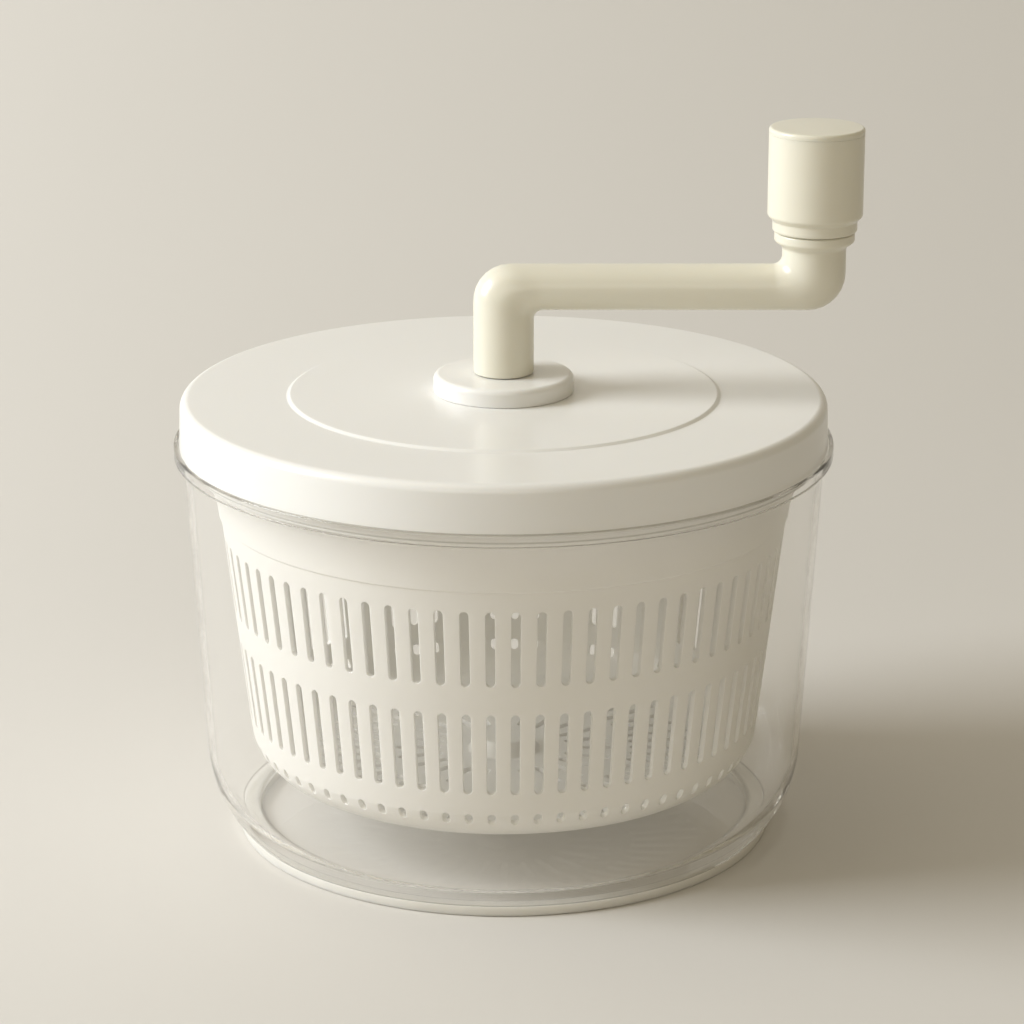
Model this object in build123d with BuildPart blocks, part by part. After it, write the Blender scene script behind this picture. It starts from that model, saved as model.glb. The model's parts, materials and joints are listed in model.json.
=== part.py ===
"""Crank-driven salad spinner.

A clear bowl holds a slotted basket on a steel pivot. The lid carries a crank and a planetary gear set under
its top plate, which turns a drive disc that sits in the basket's mouth. The gears speed the basket up.

Units are millimetres. The origin is on the spin axis at the table surface, +Z is up, and the crank arm points
along +X. Every part of revolution is centred on the Z axis, except the knob, which is centred on the far end
of the crank arm.
"""

import os
from math import acos, cos, pi, radians, sin, sqrt, tan

from build123d import *

# ---------------------------------------------------------------- driving dimensions
# bowl
BOWL_WALL = 2.5
BOWL_MOUTH_R = 123.6  # outside of the wall, just under the rim
BOWL_KNEE_R = 116.6  # outside of the wall, where the bottom curve starts
BOWL_KNEE_Z = 32.0
BOWL_FOOT_R = 104.8
BOWL_FLOOR_R = 96.0
BOWL_FLOOR_Z = 6.4
BOWL_UNDERSIDE_Z = 2.2
RIM_R = 127.0
RIM_LOW_Z = 150.4
RIM_SEAT_Z = 154.0  # the lid's skirt rests here
RIM_BEAD_Z = 155.6
RIM_BEAD_R = 125.3
RING_INNER_R = 97.2
RING_H = 4.0

# pivot in the bowl's floor
BOSS_TOP_Z = 17.0
PIN_R = 2.5
PIN_LOW_Z = 10.5
PIN_TOP_Z = 27.0
RUNNING_GAP = 0.06  # radial gap between a shaft and its bearing
END_GAP = 0.3  # gap between faces that turn past each other
BUSH_FLANGE_R = 8.5
BUSH_BODY_R = 6.2

# basket
BASKET_WALL = 2.0
BASKET_FLOOR_Z = 25.2
BASKET_FLOOR_R = 84.0
BASKET_LOW_R = 99.5
BASKET_LOW_Z = 41.0
BASKET_BAND_R = 109.6  # outside of the slotted wall at its top
BASKET_BAND_Z = 128.0
BASKET_STEP = 0.8
FLARE_R = 116.6
FLARE_Z = 146.5
BASKET_RIM_R = 117.4
BASKET_TOP_Z = 148.6
SLOT_COUNT = 72
SLOT_W = 3.5
SLOT_ROWS = ((105.6, 30.1), (63.0, 32.7))  # height of the row's centre, length of its slots
DRAIN_HOLE_Z = 36.0
DRAIN_HOLE_W = 3.0
DRAIN_HOLE_H = 4.8
HUB_R = 10.0
HUB_LOW_Z = 19.8
SOCKET_R = BUSH_BODY_R + END_GAP
SOCKET_TOP_Z = 29.9
DRIVE_RIB_COUNT = 6
DRIVE_RIB_W = 3.4
DRIVE_RIB_R = 105.8

# lid
LID_TOP_Z = 173.0
LID_PLATE = 2.4
LID_SKIRT_R = 124.8
LID_SHOULDER_R = 124.2
LID_EDGE_ROUND = 3.6
LID_SKIRT_WALL = 2.2
DISC_R = 82.0  # raised middle of the lid's top
DISC_STEP = 0.9
PLUG_R = 120.2
PLUG_WALL = 1.8
PLUG_LOW_Z = 149.2
LID_RIB_COUNT = 12
LID_RIB_Z = 165.2
COLLAR_R = 27.0
COLLAR_H = 7.1

# gear set: the ring is fixed, the crank turns the planet carrier and the sun drives the basket
MODULE = 1.25
SUN_TEETH = 16
PLANET_TEETH = 20
RING_TEETH = SUN_TEETH + 2 * PLANET_TEETH
PLANET_COUNT = 3
PRESSURE_ANGLE = radians(20)
TOOTH_THINNING = 0.18  # taken off each tooth's thickness, for backlash
GEAR_LOW_Z = 156.8
GEAR_TOP_Z = 164.7
RING_GEAR_R = 40.0
HOUSING_WALL = 2.4
COVER_TOP_Z = 156.0
COVER_T = 2.4
COVER_R = 52.0
SCREW_CIRCLE_R = 47.0
CARRIER_LOW_Z = 165.0
CARRIER_T = 3.2
SHAFT_R = 8.0
SHAFT_SQUARE = 11.0
PLANET_PIN_R = 1.5

# drive disc
DRIVE_Z = 137.0
DRIVE_T = 2.5
DRIVE_R = 107.4
DRIVE_SHAFT_R = 5.0
DRIVE_FLAT = 3.8  # from the axis to the flat on the shaft

# crank
POST_R = 11.6
POST_LOW_Z = LID_TOP_Z + DISC_STEP + COLLAR_H + END_GAP
ARM_Z = 214.7
ARM_HALF_H = 8.85
ARM_HALF_W = 9.6
ARM_LENGTH = 118.0
NECK_R = 12.15
ELBOW_INNER_R = 3.5
ELBOW_OUTER_R = 14.2
NECK_TOP_Z = 236.3
FLANGE_R = 15.3
FLANGE_H = 4.2
SPINDLE_R = 3.0

# knob
KNOB_R = 18.1
KNOB_SKIRT_R = 16.1
KNOB_LOW_Z = NECK_TOP_Z + END_GAP
KNOB_SKIRT_H = 4.2
KNOB_SEAM_Z = 274.2
KNOB_TOP_Z = 277.0
KNOB_POCKET_R = 9.0
KNOB_POCKET_Z = 260.0

LID_UNDER_Z = LID_TOP_Z - LID_PLATE
COLLAR_LOW_Z = LID_TOP_Z + DISC_STEP
CARRIER_TOP_Z = CARRIER_LOW_Z + CARRIER_T
COVER_LOW_Z = COVER_TOP_Z - COVER_T
PLANET_ORBIT_R = MODULE * (SUN_TEETH + PLANET_TEETH) / 2


# ---------------------------------------------------------------- shared shapes
def round_corner(x, y, radius):
    """Rounds the corner of the current sketch that lies nearest to (x, y)."""
    fillet(vertices().sort_by_distance(Vector(x, y, 0))[0], radius)


def involute_half_angle(teeth, radius, thickness):
    """Half the angle that a tooth of this thickness at the pitch circle spans at another radius."""
    pitch_r = MODULE * teeth / 2
    base_r = pitch_r * cos(PRESSURE_ANGLE)
    at = acos(min(1.0, base_r / max(radius, base_r)))
    return thickness / (2 * pitch_r) + (tan(PRESSURE_ANGLE) - PRESSURE_ANGLE) - (tan(at) - at)


def gear_outline(teeth, root_r, tip_r, thickness, first_tooth=0.0):
    """Draws a closed gear outline in the current line builder.

    thickness is the tooth's thickness at the pitch circle, and first_tooth the angle of a tooth's middle.
    """
    base_r = MODULE * teeth / 2 * cos(PRESSURE_ANGLE)
    start_r = max(root_r, base_r)
    flank_radii = [start_r + (tip_r - start_r) * i / 3 for i in range(4)]
    pitch = 2 * pi / teeth

    def point(radius, angle):
        return (radius * cos(angle), radius * sin(angle))

    for tooth in range(teeth):
        middle = first_tooth + tooth * pitch
        half = [involute_half_angle(teeth, r, thickness) for r in flank_radii]
        rising = [point(r, middle - h) for r, h in zip(flank_radii, half)]
        falling = [point(r, middle + h) for r, h in zip(flank_radii, half)]
        foot_in = point(root_r, middle - half[0])
        foot_out = point(root_r, middle + half[0])
        if start_r > root_r + 0.01:
            Line(foot_in, rising[0])
            Line(falling[0], foot_out)
        Spline(*rising)
        ThreePointArc(rising[-1], point(tip_r, middle), falling[-1])
        Spline(*reversed(falling))
        next_foot = point(root_r, middle + pitch - half[0])
        ThreePointArc(foot_out, point(root_r, middle + pitch / 2), next_foot)


def elbow_reach(angle, post_reach, arm_reach):
    """Distance from an elbow's inner centre to its outside, along a ray at this angle.

    The outside is two straight sides, post_reach and arm_reach away, joined by an arc of ELBOW_OUTER_R.
    """
    across, along = cos(angle), sin(angle)
    corner = min(post_reach / max(across, 1e-9), arm_reach / max(along, 1e-9))
    arc_x, arc_z = post_reach - ELBOW_OUTER_R, arm_reach - ELBOW_OUTER_R
    if corner * across <= arc_x or corner * along <= arc_z:
        return corner
    on_ray = across * arc_x + along * arc_z
    return on_ray + sqrt(on_ray**2 - arc_x**2 - arc_z**2 + ELBOW_OUTER_R**2)


def elbow_section(angle, centre, post_r, arm_outward, arm_upward):
    """Returns one oval section of an elbow of the crank.

    angle runs from 0 at the upright part to 90 degrees at the arm. arm_outward and arm_upward are +1 or -1,
    and say which way the arm leaves and on which side of it the elbow's inner centre lies.
    """
    reach = elbow_reach(angle, ELBOW_INNER_R + 2 * post_r, ELBOW_INNER_R + 2 * ARM_HALF_H)
    half = (reach - ELBOW_INNER_R) / 2
    middle = (reach + ELBOW_INNER_R) / 2
    blend = (1 - cos(2 * angle)) / 2
    half_width = post_r + (ARM_HALF_W - post_r) * blend
    out_x, out_z = -arm_outward * cos(angle), arm_upward * sin(angle)
    origin = (centre[0] + out_x * middle, 0, centre[1] + out_z * middle)
    plane = Plane(origin=origin, x_dir=(out_x, 0, out_z), z_dir=(-out_z, 0, out_x))
    with BuildSketch(plane) as section:
        Ellipse(half, half_width)
    return section.sketch


def finish(builder, name):
    """Names a finished piece and writes its STEP file."""
    builder.part.label = name
    export_step(builder.part, f"parts/{name}.step")


os.makedirs("parts", exist_ok=True)

# ---------------------------------------------------------------- bowl
wall_lean = (BOWL_KNEE_R - BOWL_MOUTH_R, BOWL_KNEE_Z - RIM_LOW_Z)
inner_knee = (BOWL_KNEE_R - BOWL_WALL, BOWL_KNEE_Z)
inner_mouth = (BOWL_MOUTH_R - BOWL_WALL, RIM_SEAT_Z)
with BuildPart() as bowl:
    with BuildSketch(Plane.XZ):
        with BuildLine():
            Polyline((0, 8), (4, 8), (6, BOWL_UNDERSIDE_Z), (RING_INNER_R, BOWL_UNDERSIDE_Z))
            Polyline((RING_INNER_R, BOWL_UNDERSIDE_Z), (RING_INNER_R, RING_H), (BOWL_FOOT_R, RING_H))
            TangentArc((BOWL_KNEE_R, BOWL_KNEE_Z), (BOWL_FOOT_R, RING_H), tangent=wall_lean)
            Polyline(
                (BOWL_KNEE_R, BOWL_KNEE_Z),
                (BOWL_MOUTH_R, RIM_LOW_Z),
                (RIM_R, RIM_LOW_Z),
                (RIM_R, RIM_BEAD_Z),
                (RIM_BEAD_R, RIM_BEAD_Z),
                (RIM_BEAD_R, RIM_SEAT_Z),
                inner_mouth,
                inner_knee,
            )
            TangentArc(inner_knee, (BOWL_FLOOR_R, BOWL_FLOOR_Z), tangent=wall_lean)
            Polyline(
                (BOWL_FLOOR_R, BOWL_FLOOR_Z),
                (10, BOWL_FLOOR_Z),
                (6.5, BOSS_TOP_Z),
                (0, BOSS_TOP_Z),
                (0, 8),
            )
        make_face()
        round_corner(RIM_R, RIM_LOW_Z, 1.4)
        round_corner(RIM_R, RIM_BEAD_Z, 0.7)
        round_corner(RIM_BEAD_R, RIM_BEAD_Z, 0.5)
        round_corner(10, BOWL_FLOOR_Z, 4)
    revolve(axis=Axis.Z)
    with BuildSketch(Plane.XY.offset(BOSS_TOP_Z)):
        Circle(PIN_R)
    extrude(amount=PIN_LOW_Z - BOSS_TOP_Z, mode=Mode.SUBTRACT)
finish(bowl, "bowl")

with BuildPart() as anti_slip_ring:
    with BuildSketch(Plane.XZ):
        with Locations(((RING_INNER_R + BOWL_FOOT_R) / 2, RING_H / 2)):
            Rectangle(BOWL_FOOT_R - RING_INNER_R, RING_H)
        fillet(vertices().group_by(Axis.Z)[0], 0.9)
    revolve(axis=Axis.Z)
finish(anti_slip_ring, "anti_slip_ring")

with BuildPart() as pivot_pin:
    with BuildSketch(Plane.XY.offset(PIN_LOW_Z)):
        Circle(PIN_R)
    extrude(amount=PIN_TOP_Z - PIN_LOW_Z)
    fillet(edges().group_by(Axis.Z)[-1], 1.2)
finish(pivot_pin, "pivot_pin")

bush_low_z = BOSS_TOP_Z + END_GAP
bush_top_z = SOCKET_TOP_Z - END_GAP
with BuildPart() as pivot_bush:
    with BuildSketch(Plane.XY.offset(bush_low_z)):
        Circle(BUSH_FLANGE_R)
    extrude(amount=2)
    with BuildSketch(Plane.XY.offset(bush_low_z)):
        Circle(BUSH_BODY_R)
    extrude(amount=bush_top_z - bush_low_z)
    fillet(edges().group_by(Axis.Z)[-1], 1.0)
    with BuildSketch(Plane.XY.offset(bush_low_z)):
        Circle(PIN_R + RUNNING_GAP)
    extrude(amount=PIN_TOP_Z + 0.15 - bush_low_z, mode=Mode.SUBTRACT)
finish(pivot_bush, "pivot_bush")

# ---------------------------------------------------------------- basket
wall_slope = (BASKET_LOW_R - BASKET_BAND_R, BASKET_LOW_Z - BASKET_BAND_Z)
with BuildPart() as basket:
    with BuildSketch(Plane.XZ):
        with BuildLine():
            Polyline(
                (SOCKET_R, HUB_LOW_Z),
                (HUB_R, HUB_LOW_Z),
                (HUB_R + 1.2, BASKET_FLOOR_Z),
                (BASKET_FLOOR_R, BASKET_FLOOR_Z),
            )
            TangentArc(
                (BASKET_LOW_R, BASKET_LOW_Z), (BASKET_FLOOR_R, BASKET_FLOOR_Z), tangent=wall_slope
            )
            Polyline(
                (BASKET_LOW_R, BASKET_LOW_Z),
                (BASKET_BAND_R, BASKET_BAND_Z),
                (BASKET_BAND_R + BASKET_STEP, BASKET_BAND_Z + BASKET_STEP),
            )
            TangentArc(
                (BASKET_BAND_R + BASKET_STEP, BASKET_BAND_Z + BASKET_STEP),
                (FLARE_R, FLARE_Z),
                tangent=(0.08, 1),
            )
            Polyline(
                (FLARE_R, FLARE_Z),
                (BASKET_RIM_R, FLARE_Z + 0.4),
                (BASKET_RIM_R, BASKET_TOP_Z),
                (FLARE_R - BASKET_WALL, BASKET_TOP_Z),
                (FLARE_R - BASKET_WALL, FLARE_Z),
            )
            TangentArc(
                (BASKET_BAND_R + BASKET_STEP - BASKET_WALL, BASKET_BAND_Z + BASKET_STEP),
                (FLARE_R - BASKET_WALL, FLARE_Z),
                tangent=(0.08, 1),
            )
            Polyline(
                (BASKET_BAND_R + BASKET_STEP - BASKET_WALL, BASKET_BAND_Z + BASKET_STEP),
                (BASKET_BAND_R - BASKET_WALL, BASKET_BAND_Z),
                (BASKET_LOW_R - BASKET_WALL, BASKET_LOW_Z),
            )
            TangentArc(
                (BASKET_LOW_R - BASKET_WALL, BASKET_LOW_Z),
                (BASKET_FLOOR_R, BASKET_FLOOR_Z + BASKET_WALL),
                tangent=wall_slope,
            )
            Polyline(
                (BASKET_FLOOR_R, BASKET_FLOOR_Z + BASKET_WALL),
                (HUB_R + 4, BASKET_FLOOR_Z + BASKET_WALL),
                (HUB_R - 0.5, SOCKET_TOP_Z + 2.6),
                (0, SOCKET_TOP_Z + 3),
                (0, SOCKET_TOP_Z),
                (SOCKET_R, SOCKET_TOP_Z),
                (SOCKET_R, HUB_LOW_Z),
            )
        make_face()
        round_corner(BASKET_RIM_R, BASKET_TOP_Z, 0.8)
    revolve(axis=Axis.Z)
    # ribs inside the mouth, which the drive disc's notches take hold of
    with BuildSketch(Plane.XY.offset(131)):
        with PolarLocations((DRIVE_RIB_R + BASKET_BAND_R) / 2, DRIVE_RIB_COUNT):
            Rectangle(BASKET_BAND_R - DRIVE_RIB_R, DRIVE_RIB_W)
    extrude(amount=11)

with BuildPart() as wall_cutter:
    half_step = 180 / SLOT_COUNT
    cut_from = BASKET_LOW_R - 8
    for row_z, slot_length in SLOT_ROWS:
        with BuildSketch(Plane.YZ.offset(cut_from)):
            with Locations((0, row_z)):
                SlotOverall(slot_length, SLOT_W, rotation=90)
        extrude(amount=30)
    with BuildSketch(Plane.YZ.offset(cut_from - 8)):
        with Locations((0, DRAIN_HOLE_Z)):
            SlotOverall(DRAIN_HOLE_H, DRAIN_HOLE_W, rotation=90)
    extrude(amount=30)

with BuildPart() as floor_cutter:
    with BuildSketch(Plane.XY.offset(BASKET_FLOOR_Z - 1)):
        with PolarLocations(34, 24):
            SlotOverall(18, 3)
        with PolarLocations(64, 48):
            SlotOverall(28, 3)
    extrude(amount=BASKET_WALL + 2)

with basket:
    with PolarLocations(0, SLOT_COUNT, start_angle=half_step):
        add(wall_cutter.part, mode=Mode.SUBTRACT)
    add(floor_cutter.part, mode=Mode.SUBTRACT)
finish(basket, "basket")

# ---------------------------------------------------------------- lid
housing_r = RING_GEAR_R + HOUSING_WALL
boss_angle = 45
with BuildPart() as lid_shell:
    with BuildSketch(Plane.XZ):
        with BuildLine():
            Polyline(
                (10, LID_UNDER_Z),
                (RING_GEAR_R, LID_UNDER_Z),
                (RING_GEAR_R, COVER_TOP_Z),
                (housing_r, COVER_TOP_Z),
                (housing_r, LID_UNDER_Z),
                (PLUG_R - PLUG_WALL, LID_UNDER_Z),
                (PLUG_R - PLUG_WALL, PLUG_LOW_Z),
                (PLUG_R, PLUG_LOW_Z),
                (PLUG_R, LID_UNDER_Z - 1.5),
                (LID_SHOULDER_R - LID_SKIRT_WALL - 1, LID_UNDER_Z - 1.5),
                (LID_SHOULDER_R - LID_SKIRT_WALL, LID_UNDER_Z - 2.5),
                (LID_SKIRT_R - LID_SKIRT_WALL, RIM_SEAT_Z),
                (LID_SKIRT_R, RIM_SEAT_Z),
                (LID_SHOULDER_R, LID_TOP_Z),
                (DISC_R + DISC_STEP, LID_TOP_Z),
                (DISC_R, COLLAR_LOW_Z),
                (10, COLLAR_LOW_Z),
                (10, LID_UNDER_Z),
            )
        make_face()
        round_corner(LID_SHOULDER_R, LID_TOP_Z, LID_EDGE_ROUND)
        round_corner(LID_SKIRT_R, RIM_SEAT_Z, 0.5)
        round_corner(DISC_R, COLLAR_LOW_Z, 0.5)
    revolve(axis=Axis.Z)
    # stiffening ribs under the top plate
    with BuildSketch(Plane.XY.offset(LID_RIB_Z)):
        with PolarLocations((housing_r + PLUG_R - PLUG_WALL) / 2, LID_RIB_COUNT):
            Rectangle(PLUG_R - PLUG_WALL - housing_r + 1, 1.6)
    extrude(amount=LID_UNDER_Z + 0.5 - LID_RIB_Z)
    # bosses for the cover's screws
    with BuildSketch(Plane.XY.offset(COVER_TOP_Z)):
        with PolarLocations(SCREW_CIRCLE_R, 4, start_angle=boss_angle):
            Circle(3.6)
    extrude(amount=LID_UNDER_Z + 0.5 - COVER_TOP_Z)
    with BuildSketch(Plane.XY.offset(COVER_TOP_Z)):
        with PolarLocations(SCREW_CIRCLE_R, 4, start_angle=boss_angle):
            Circle(1.4)
    extrude(amount=11, mode=Mode.SUBTRACT)
finish(lid_shell, "lid_shell")

with BuildPart() as hub_collar:
    with BuildSketch(Plane.XY.offset(COLLAR_LOW_Z)):
        Circle(COLLAR_R)
        Circle(10, mode=Mode.SUBTRACT)
    extrude(amount=COLLAR_H)
    outer_edges = edges().filter_by(GeomType.CIRCLE).sort_by(SortBy.RADIUS)[-2:]
    fillet(outer_edges.sort_by(Axis.Z)[-1], 2.2)
    fillet(edges().filter_by(GeomType.CIRCLE).sort_by(SortBy.RADIUS)[-1], 0.6)
finish(hub_collar, "hub_collar")

with BuildPart() as shaft_bush:
    with BuildSketch(Plane.XY.offset(LID_UNDER_Z - 1.2)):
        Circle(13)
    extrude(amount=1.2)
    with BuildSketch(Plane.XY.offset(LID_UNDER_Z - 1.2)):
        Circle(10)
    extrude(amount=COLLAR_LOW_Z + COLLAR_H - 0.4 - LID_UNDER_Z + 1.2)
    with BuildSketch(Plane.XY.offset(LID_UNDER_Z - 1.2)):
        Circle(SHAFT_R + RUNNING_GAP)
    extrude(amount=20, mode=Mode.SUBTRACT)
finish(shaft_bush, "shaft_bush")

with BuildPart() as thrust_washer:
    with BuildSketch(Plane.XY.offset(CARRIER_TOP_Z + 0.2)):
        Circle(13)
        Circle(SHAFT_R + END_GAP, mode=Mode.SUBTRACT)
    extrude(amount=0.8)
finish(thrust_washer, "thrust_washer")

tooth = pi * MODULE / 2
with BuildPart() as ring_gear:
    with BuildSketch(Plane.XY.offset(GEAR_LOW_Z - 0.6)):
        Circle(RING_GEAR_R)
        with BuildSketch(Plane.XY.offset(GEAR_LOW_Z - 0.6), mode=Mode.PRIVATE) as ring_space:
            with BuildLine():
                ring_pitch_r = MODULE * RING_TEETH / 2
                gear_outline(
                    RING_TEETH,
                    ring_pitch_r - 0.95 * MODULE,
                    ring_pitch_r + 1.25 * MODULE,
                    tooth + TOOTH_THINNING,
                    first_tooth=pi / RING_TEETH,
                )
            make_face()
        add(ring_space.sketch, mode=Mode.SUBTRACT)
    extrude(amount=GEAR_TOP_Z - GEAR_LOW_Z + 1.6)
finish(ring_gear, "ring_gear")

with BuildPart() as gearbox_cover:
    with BuildSketch(Plane.XY.offset(COVER_LOW_Z)):
        Circle(COVER_R)
        Circle(7, mode=Mode.SUBTRACT)
        with PolarLocations(SCREW_CIRCLE_R, 4, start_angle=boss_angle):
            Circle(1.6, mode=Mode.SUBTRACT)
    extrude(amount=COVER_T)
    chamfer(edges().filter_by(GeomType.CIRCLE).sort_by(SortBy.RADIUS)[-2:].sort_by(Axis.Z)[0], 0.8)
finish(gearbox_cover, "gearbox_cover")

with BuildPart() as cover_screws:
    with BuildSketch(Plane.XY.offset(COVER_LOW_Z - 1.8)):
        with PolarLocations(SCREW_CIRCLE_R, 4, start_angle=boss_angle):
            Circle(3)
    extrude(amount=1.8)
    fillet(edges().group_by(Axis.Z)[0], 0.9)
    with BuildSketch(Plane.XY.offset(COVER_LOW_Z)):
        with PolarLocations(SCREW_CIRCLE_R, 4, start_angle=boss_angle):
            Circle(1.4)
    extrude(amount=12)
    with BuildSketch(Plane.XY.offset(COVER_LOW_Z - 1.8)):
        with PolarLocations(SCREW_CIRCLE_R, 4, start_angle=boss_angle):
            Rectangle(3, 0.7)
            Rectangle(0.7, 3)
    extrude(amount=1.0, mode=Mode.SUBTRACT)
finish(cover_screws, "cover_screws")

with BuildPart() as output_bush:
    with BuildSketch(Plane.XY.offset(COVER_LOW_Z - 1.4)):
        Circle(10)
    extrude(amount=1.4)
    with BuildSketch(Plane.XY.offset(COVER_LOW_Z - 1.4)):
        Circle(7)
    extrude(amount=COVER_T + 1.8)
    with BuildSketch(Plane.XY.offset(COVER_LOW_Z - 1.4)):
        Circle(DRIVE_SHAFT_R + RUNNING_GAP)
    extrude(amount=8, mode=Mode.SUBTRACT)
finish(output_bush, "output_bush")

# ---------------------------------------------------------------- planet gears and their carrier
for number in range(PLANET_COUNT):
    orbit = 2 * pi * number / PLANET_COUNT
    centre = (PLANET_ORBIT_R * cos(orbit), PLANET_ORBIT_R * sin(orbit), GEAR_LOW_Z)
    with BuildPart() as planet_gear:
        with BuildSketch(Plane(origin=centre)):
            with BuildLine():
                planet_pitch_r = MODULE * PLANET_TEETH / 2
                gear_outline(
                    PLANET_TEETH,
                    planet_pitch_r - 1.25 * MODULE,
                    planet_pitch_r + 0.95 * MODULE,
                    tooth - TOOTH_THINNING,
                    first_tooth=pi / PLANET_TEETH,
                )
            make_face()
            Circle(PLANET_PIN_R + RUNNING_GAP, mode=Mode.SUBTRACT)
        extrude(amount=GEAR_TOP_Z - GEAR_LOW_Z)
        # a shallow recess in the web on each side
        for face_z, depth in ((GEAR_TOP_Z, -1.2), (GEAR_LOW_Z, 1.2)):
            with BuildSketch(Plane(origin=(centre[0], centre[1], face_z))):
                Circle(8.6)
                Circle(3.8, mode=Mode.SUBTRACT)
            extrude(amount=depth, mode=Mode.SUBTRACT)
    finish(planet_gear, f"planet_gear_{number + 1}")

with BuildPart() as planet_carrier:
    with BuildSketch(Plane.XY.offset(CARRIER_LOW_Z)):
        with PolarLocations(PLANET_ORBIT_R, PLANET_COUNT):
            Circle(8)
        make_hull()
        with PolarLocations(PLANET_ORBIT_R, PLANET_COUNT):
            Circle(PLANET_PIN_R, mode=Mode.SUBTRACT)
    extrude(amount=CARRIER_T)
    with BuildSketch(Plane.XY.offset(CARRIER_TOP_Z)):
        Circle(SHAFT_R)
    extrude(amount=POST_LOW_Z - CARRIER_TOP_Z - 0.6)
    with BuildSketch(Plane.XY.offset(POST_LOW_Z - 0.6)):
        Rectangle(SHAFT_SQUARE, SHAFT_SQUARE)
    extrude(amount=9)
    with BuildSketch(Plane.XY.offset(CARRIER_LOW_Z)):
        Circle(4.3)
    extrude(amount=4.4, mode=Mode.SUBTRACT)
    with BuildSketch(Plane.XY.offset(CARRIER_LOW_Z)):
        Circle(2.3)
    extrude(amount=30, mode=Mode.SUBTRACT)
finish(planet_carrier, "planet_carrier")

with BuildPart() as planet_pins:
    with BuildSketch(Plane.XY.offset(COVER_TOP_Z + 0.4)):
        with PolarLocations(PLANET_ORBIT_R, PLANET_COUNT):
            Circle(PLANET_PIN_R)
    extrude(amount=CARRIER_TOP_Z - COVER_TOP_Z - 0.4)
finish(planet_pins, "planet_pins")

# ---------------------------------------------------------------- crank
SCREW_HEAD_Z = CARRIER_LOW_Z + 4.4 - 3.2
SCREW_TOP_Z = POST_LOW_Z + 16
with BuildPart() as carrier_screw:
    with BuildSketch(Plane.XY.offset(SCREW_HEAD_Z)):
        Circle(3.9)
    extrude(amount=3.2)
    with BuildSketch(Plane.XY.offset(SCREW_HEAD_Z)):
        RegularPolygon(1.7, 6)
    extrude(amount=2, mode=Mode.SUBTRACT)
    with BuildSketch(Plane.XY.offset(SCREW_HEAD_Z + 3.2)):
        Circle(2)
    extrude(amount=SCREW_TOP_Z - SCREW_HEAD_Z - 3.2)
finish(carrier_screw, "carrier_screw")

elbow_steps = [radians(15 * i) for i in range(7)]
low_elbow = (POST_R + ELBOW_INNER_R, ARM_Z - ARM_HALF_H - ELBOW_INNER_R)
high_elbow = (ARM_LENGTH - NECK_R - ELBOW_INNER_R, ARM_Z + ARM_HALF_H + ELBOW_INNER_R)
with BuildPart() as crank_arm:
    with BuildSketch(Plane.XY.offset(POST_LOW_Z)):
        Circle(POST_R)
    extrude(amount=low_elbow[1] - POST_LOW_Z)
    loft([elbow_section(angle, low_elbow, POST_R, 1, 1) for angle in elbow_steps])
    with BuildSketch(Plane.YZ.offset(low_elbow[0])):
        with Locations((0, ARM_Z)):
            Ellipse(ARM_HALF_W, ARM_HALF_H)
    extrude(amount=high_elbow[0] - low_elbow[0])
    loft([elbow_section(angle, high_elbow, NECK_R, -1, -1) for angle in elbow_steps])
    with BuildSketch(Plane.XY.offset(high_elbow[1])):
        with Locations((ARM_LENGTH, 0)):
            Circle(NECK_R)
    extrude(amount=NECK_TOP_Z - high_elbow[1])
    # flange that the knob's skirt turns on
    with BuildSketch(Plane.XZ):
        with BuildLine():
            FilletPolyline(
                (ARM_LENGTH, NECK_TOP_Z),
                (ARM_LENGTH + FLANGE_R, NECK_TOP_Z),
                (ARM_LENGTH + FLANGE_R, NECK_TOP_Z - FLANGE_H + 1),
                (ARM_LENGTH + NECK_R, NECK_TOP_Z - FLANGE_H - 2),
                (ARM_LENGTH, NECK_TOP_Z - FLANGE_H - 2),
                radius=[0.8, 1.2, 1.5],
            )
            Line((ARM_LENGTH, NECK_TOP_Z - FLANGE_H - 2), (ARM_LENGTH, NECK_TOP_Z))
        make_face()
    revolve(axis=Axis((ARM_LENGTH, 0, 0), (0, 0, 1)))
    # square socket for the shaft, and the hole for its screw
    with BuildSketch(Plane.XY.offset(POST_LOW_Z)):
        Rectangle(SHAFT_SQUARE + 0.2, SHAFT_SQUARE + 0.2)
    extrude(amount=8.6, mode=Mode.SUBTRACT)
    with BuildSketch(Plane.XY.offset(POST_LOW_Z)):
        Circle(2)
    extrude(amount=17, mode=Mode.SUBTRACT)
    with BuildSketch(Plane.XY.offset(NECK_TOP_Z)):
        with Locations((ARM_LENGTH, 0)):
            Circle(SPINDLE_R)
    extrude(amount=-20, mode=Mode.SUBTRACT)
finish(crank_arm, "crank_arm")

# ---------------------------------------------------------------- knob
with BuildPart() as knob_spindle:
    with BuildSketch(Plane.XY.offset(NECK_TOP_Z - 20)):
        with Locations((ARM_LENGTH, 0)):
            Circle(SPINDLE_R)
    extrude(amount=KNOB_POCKET_Z + 3.4 - NECK_TOP_Z + 20)
    chamfer(edges().group_by(Axis.Z)[-1], 0.6)
finish(knob_spindle, "knob_spindle")

with BuildPart() as knob_retainer:
    with BuildSketch(Plane.XY.offset(KNOB_POCKET_Z + 0.3)):
        with Locations((ARM_LENGTH, 0)):
            Circle(7)
            Circle(SPINDLE_R, mode=Mode.SUBTRACT)
    extrude(amount=1)
finish(knob_retainer, "knob_retainer")

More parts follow.
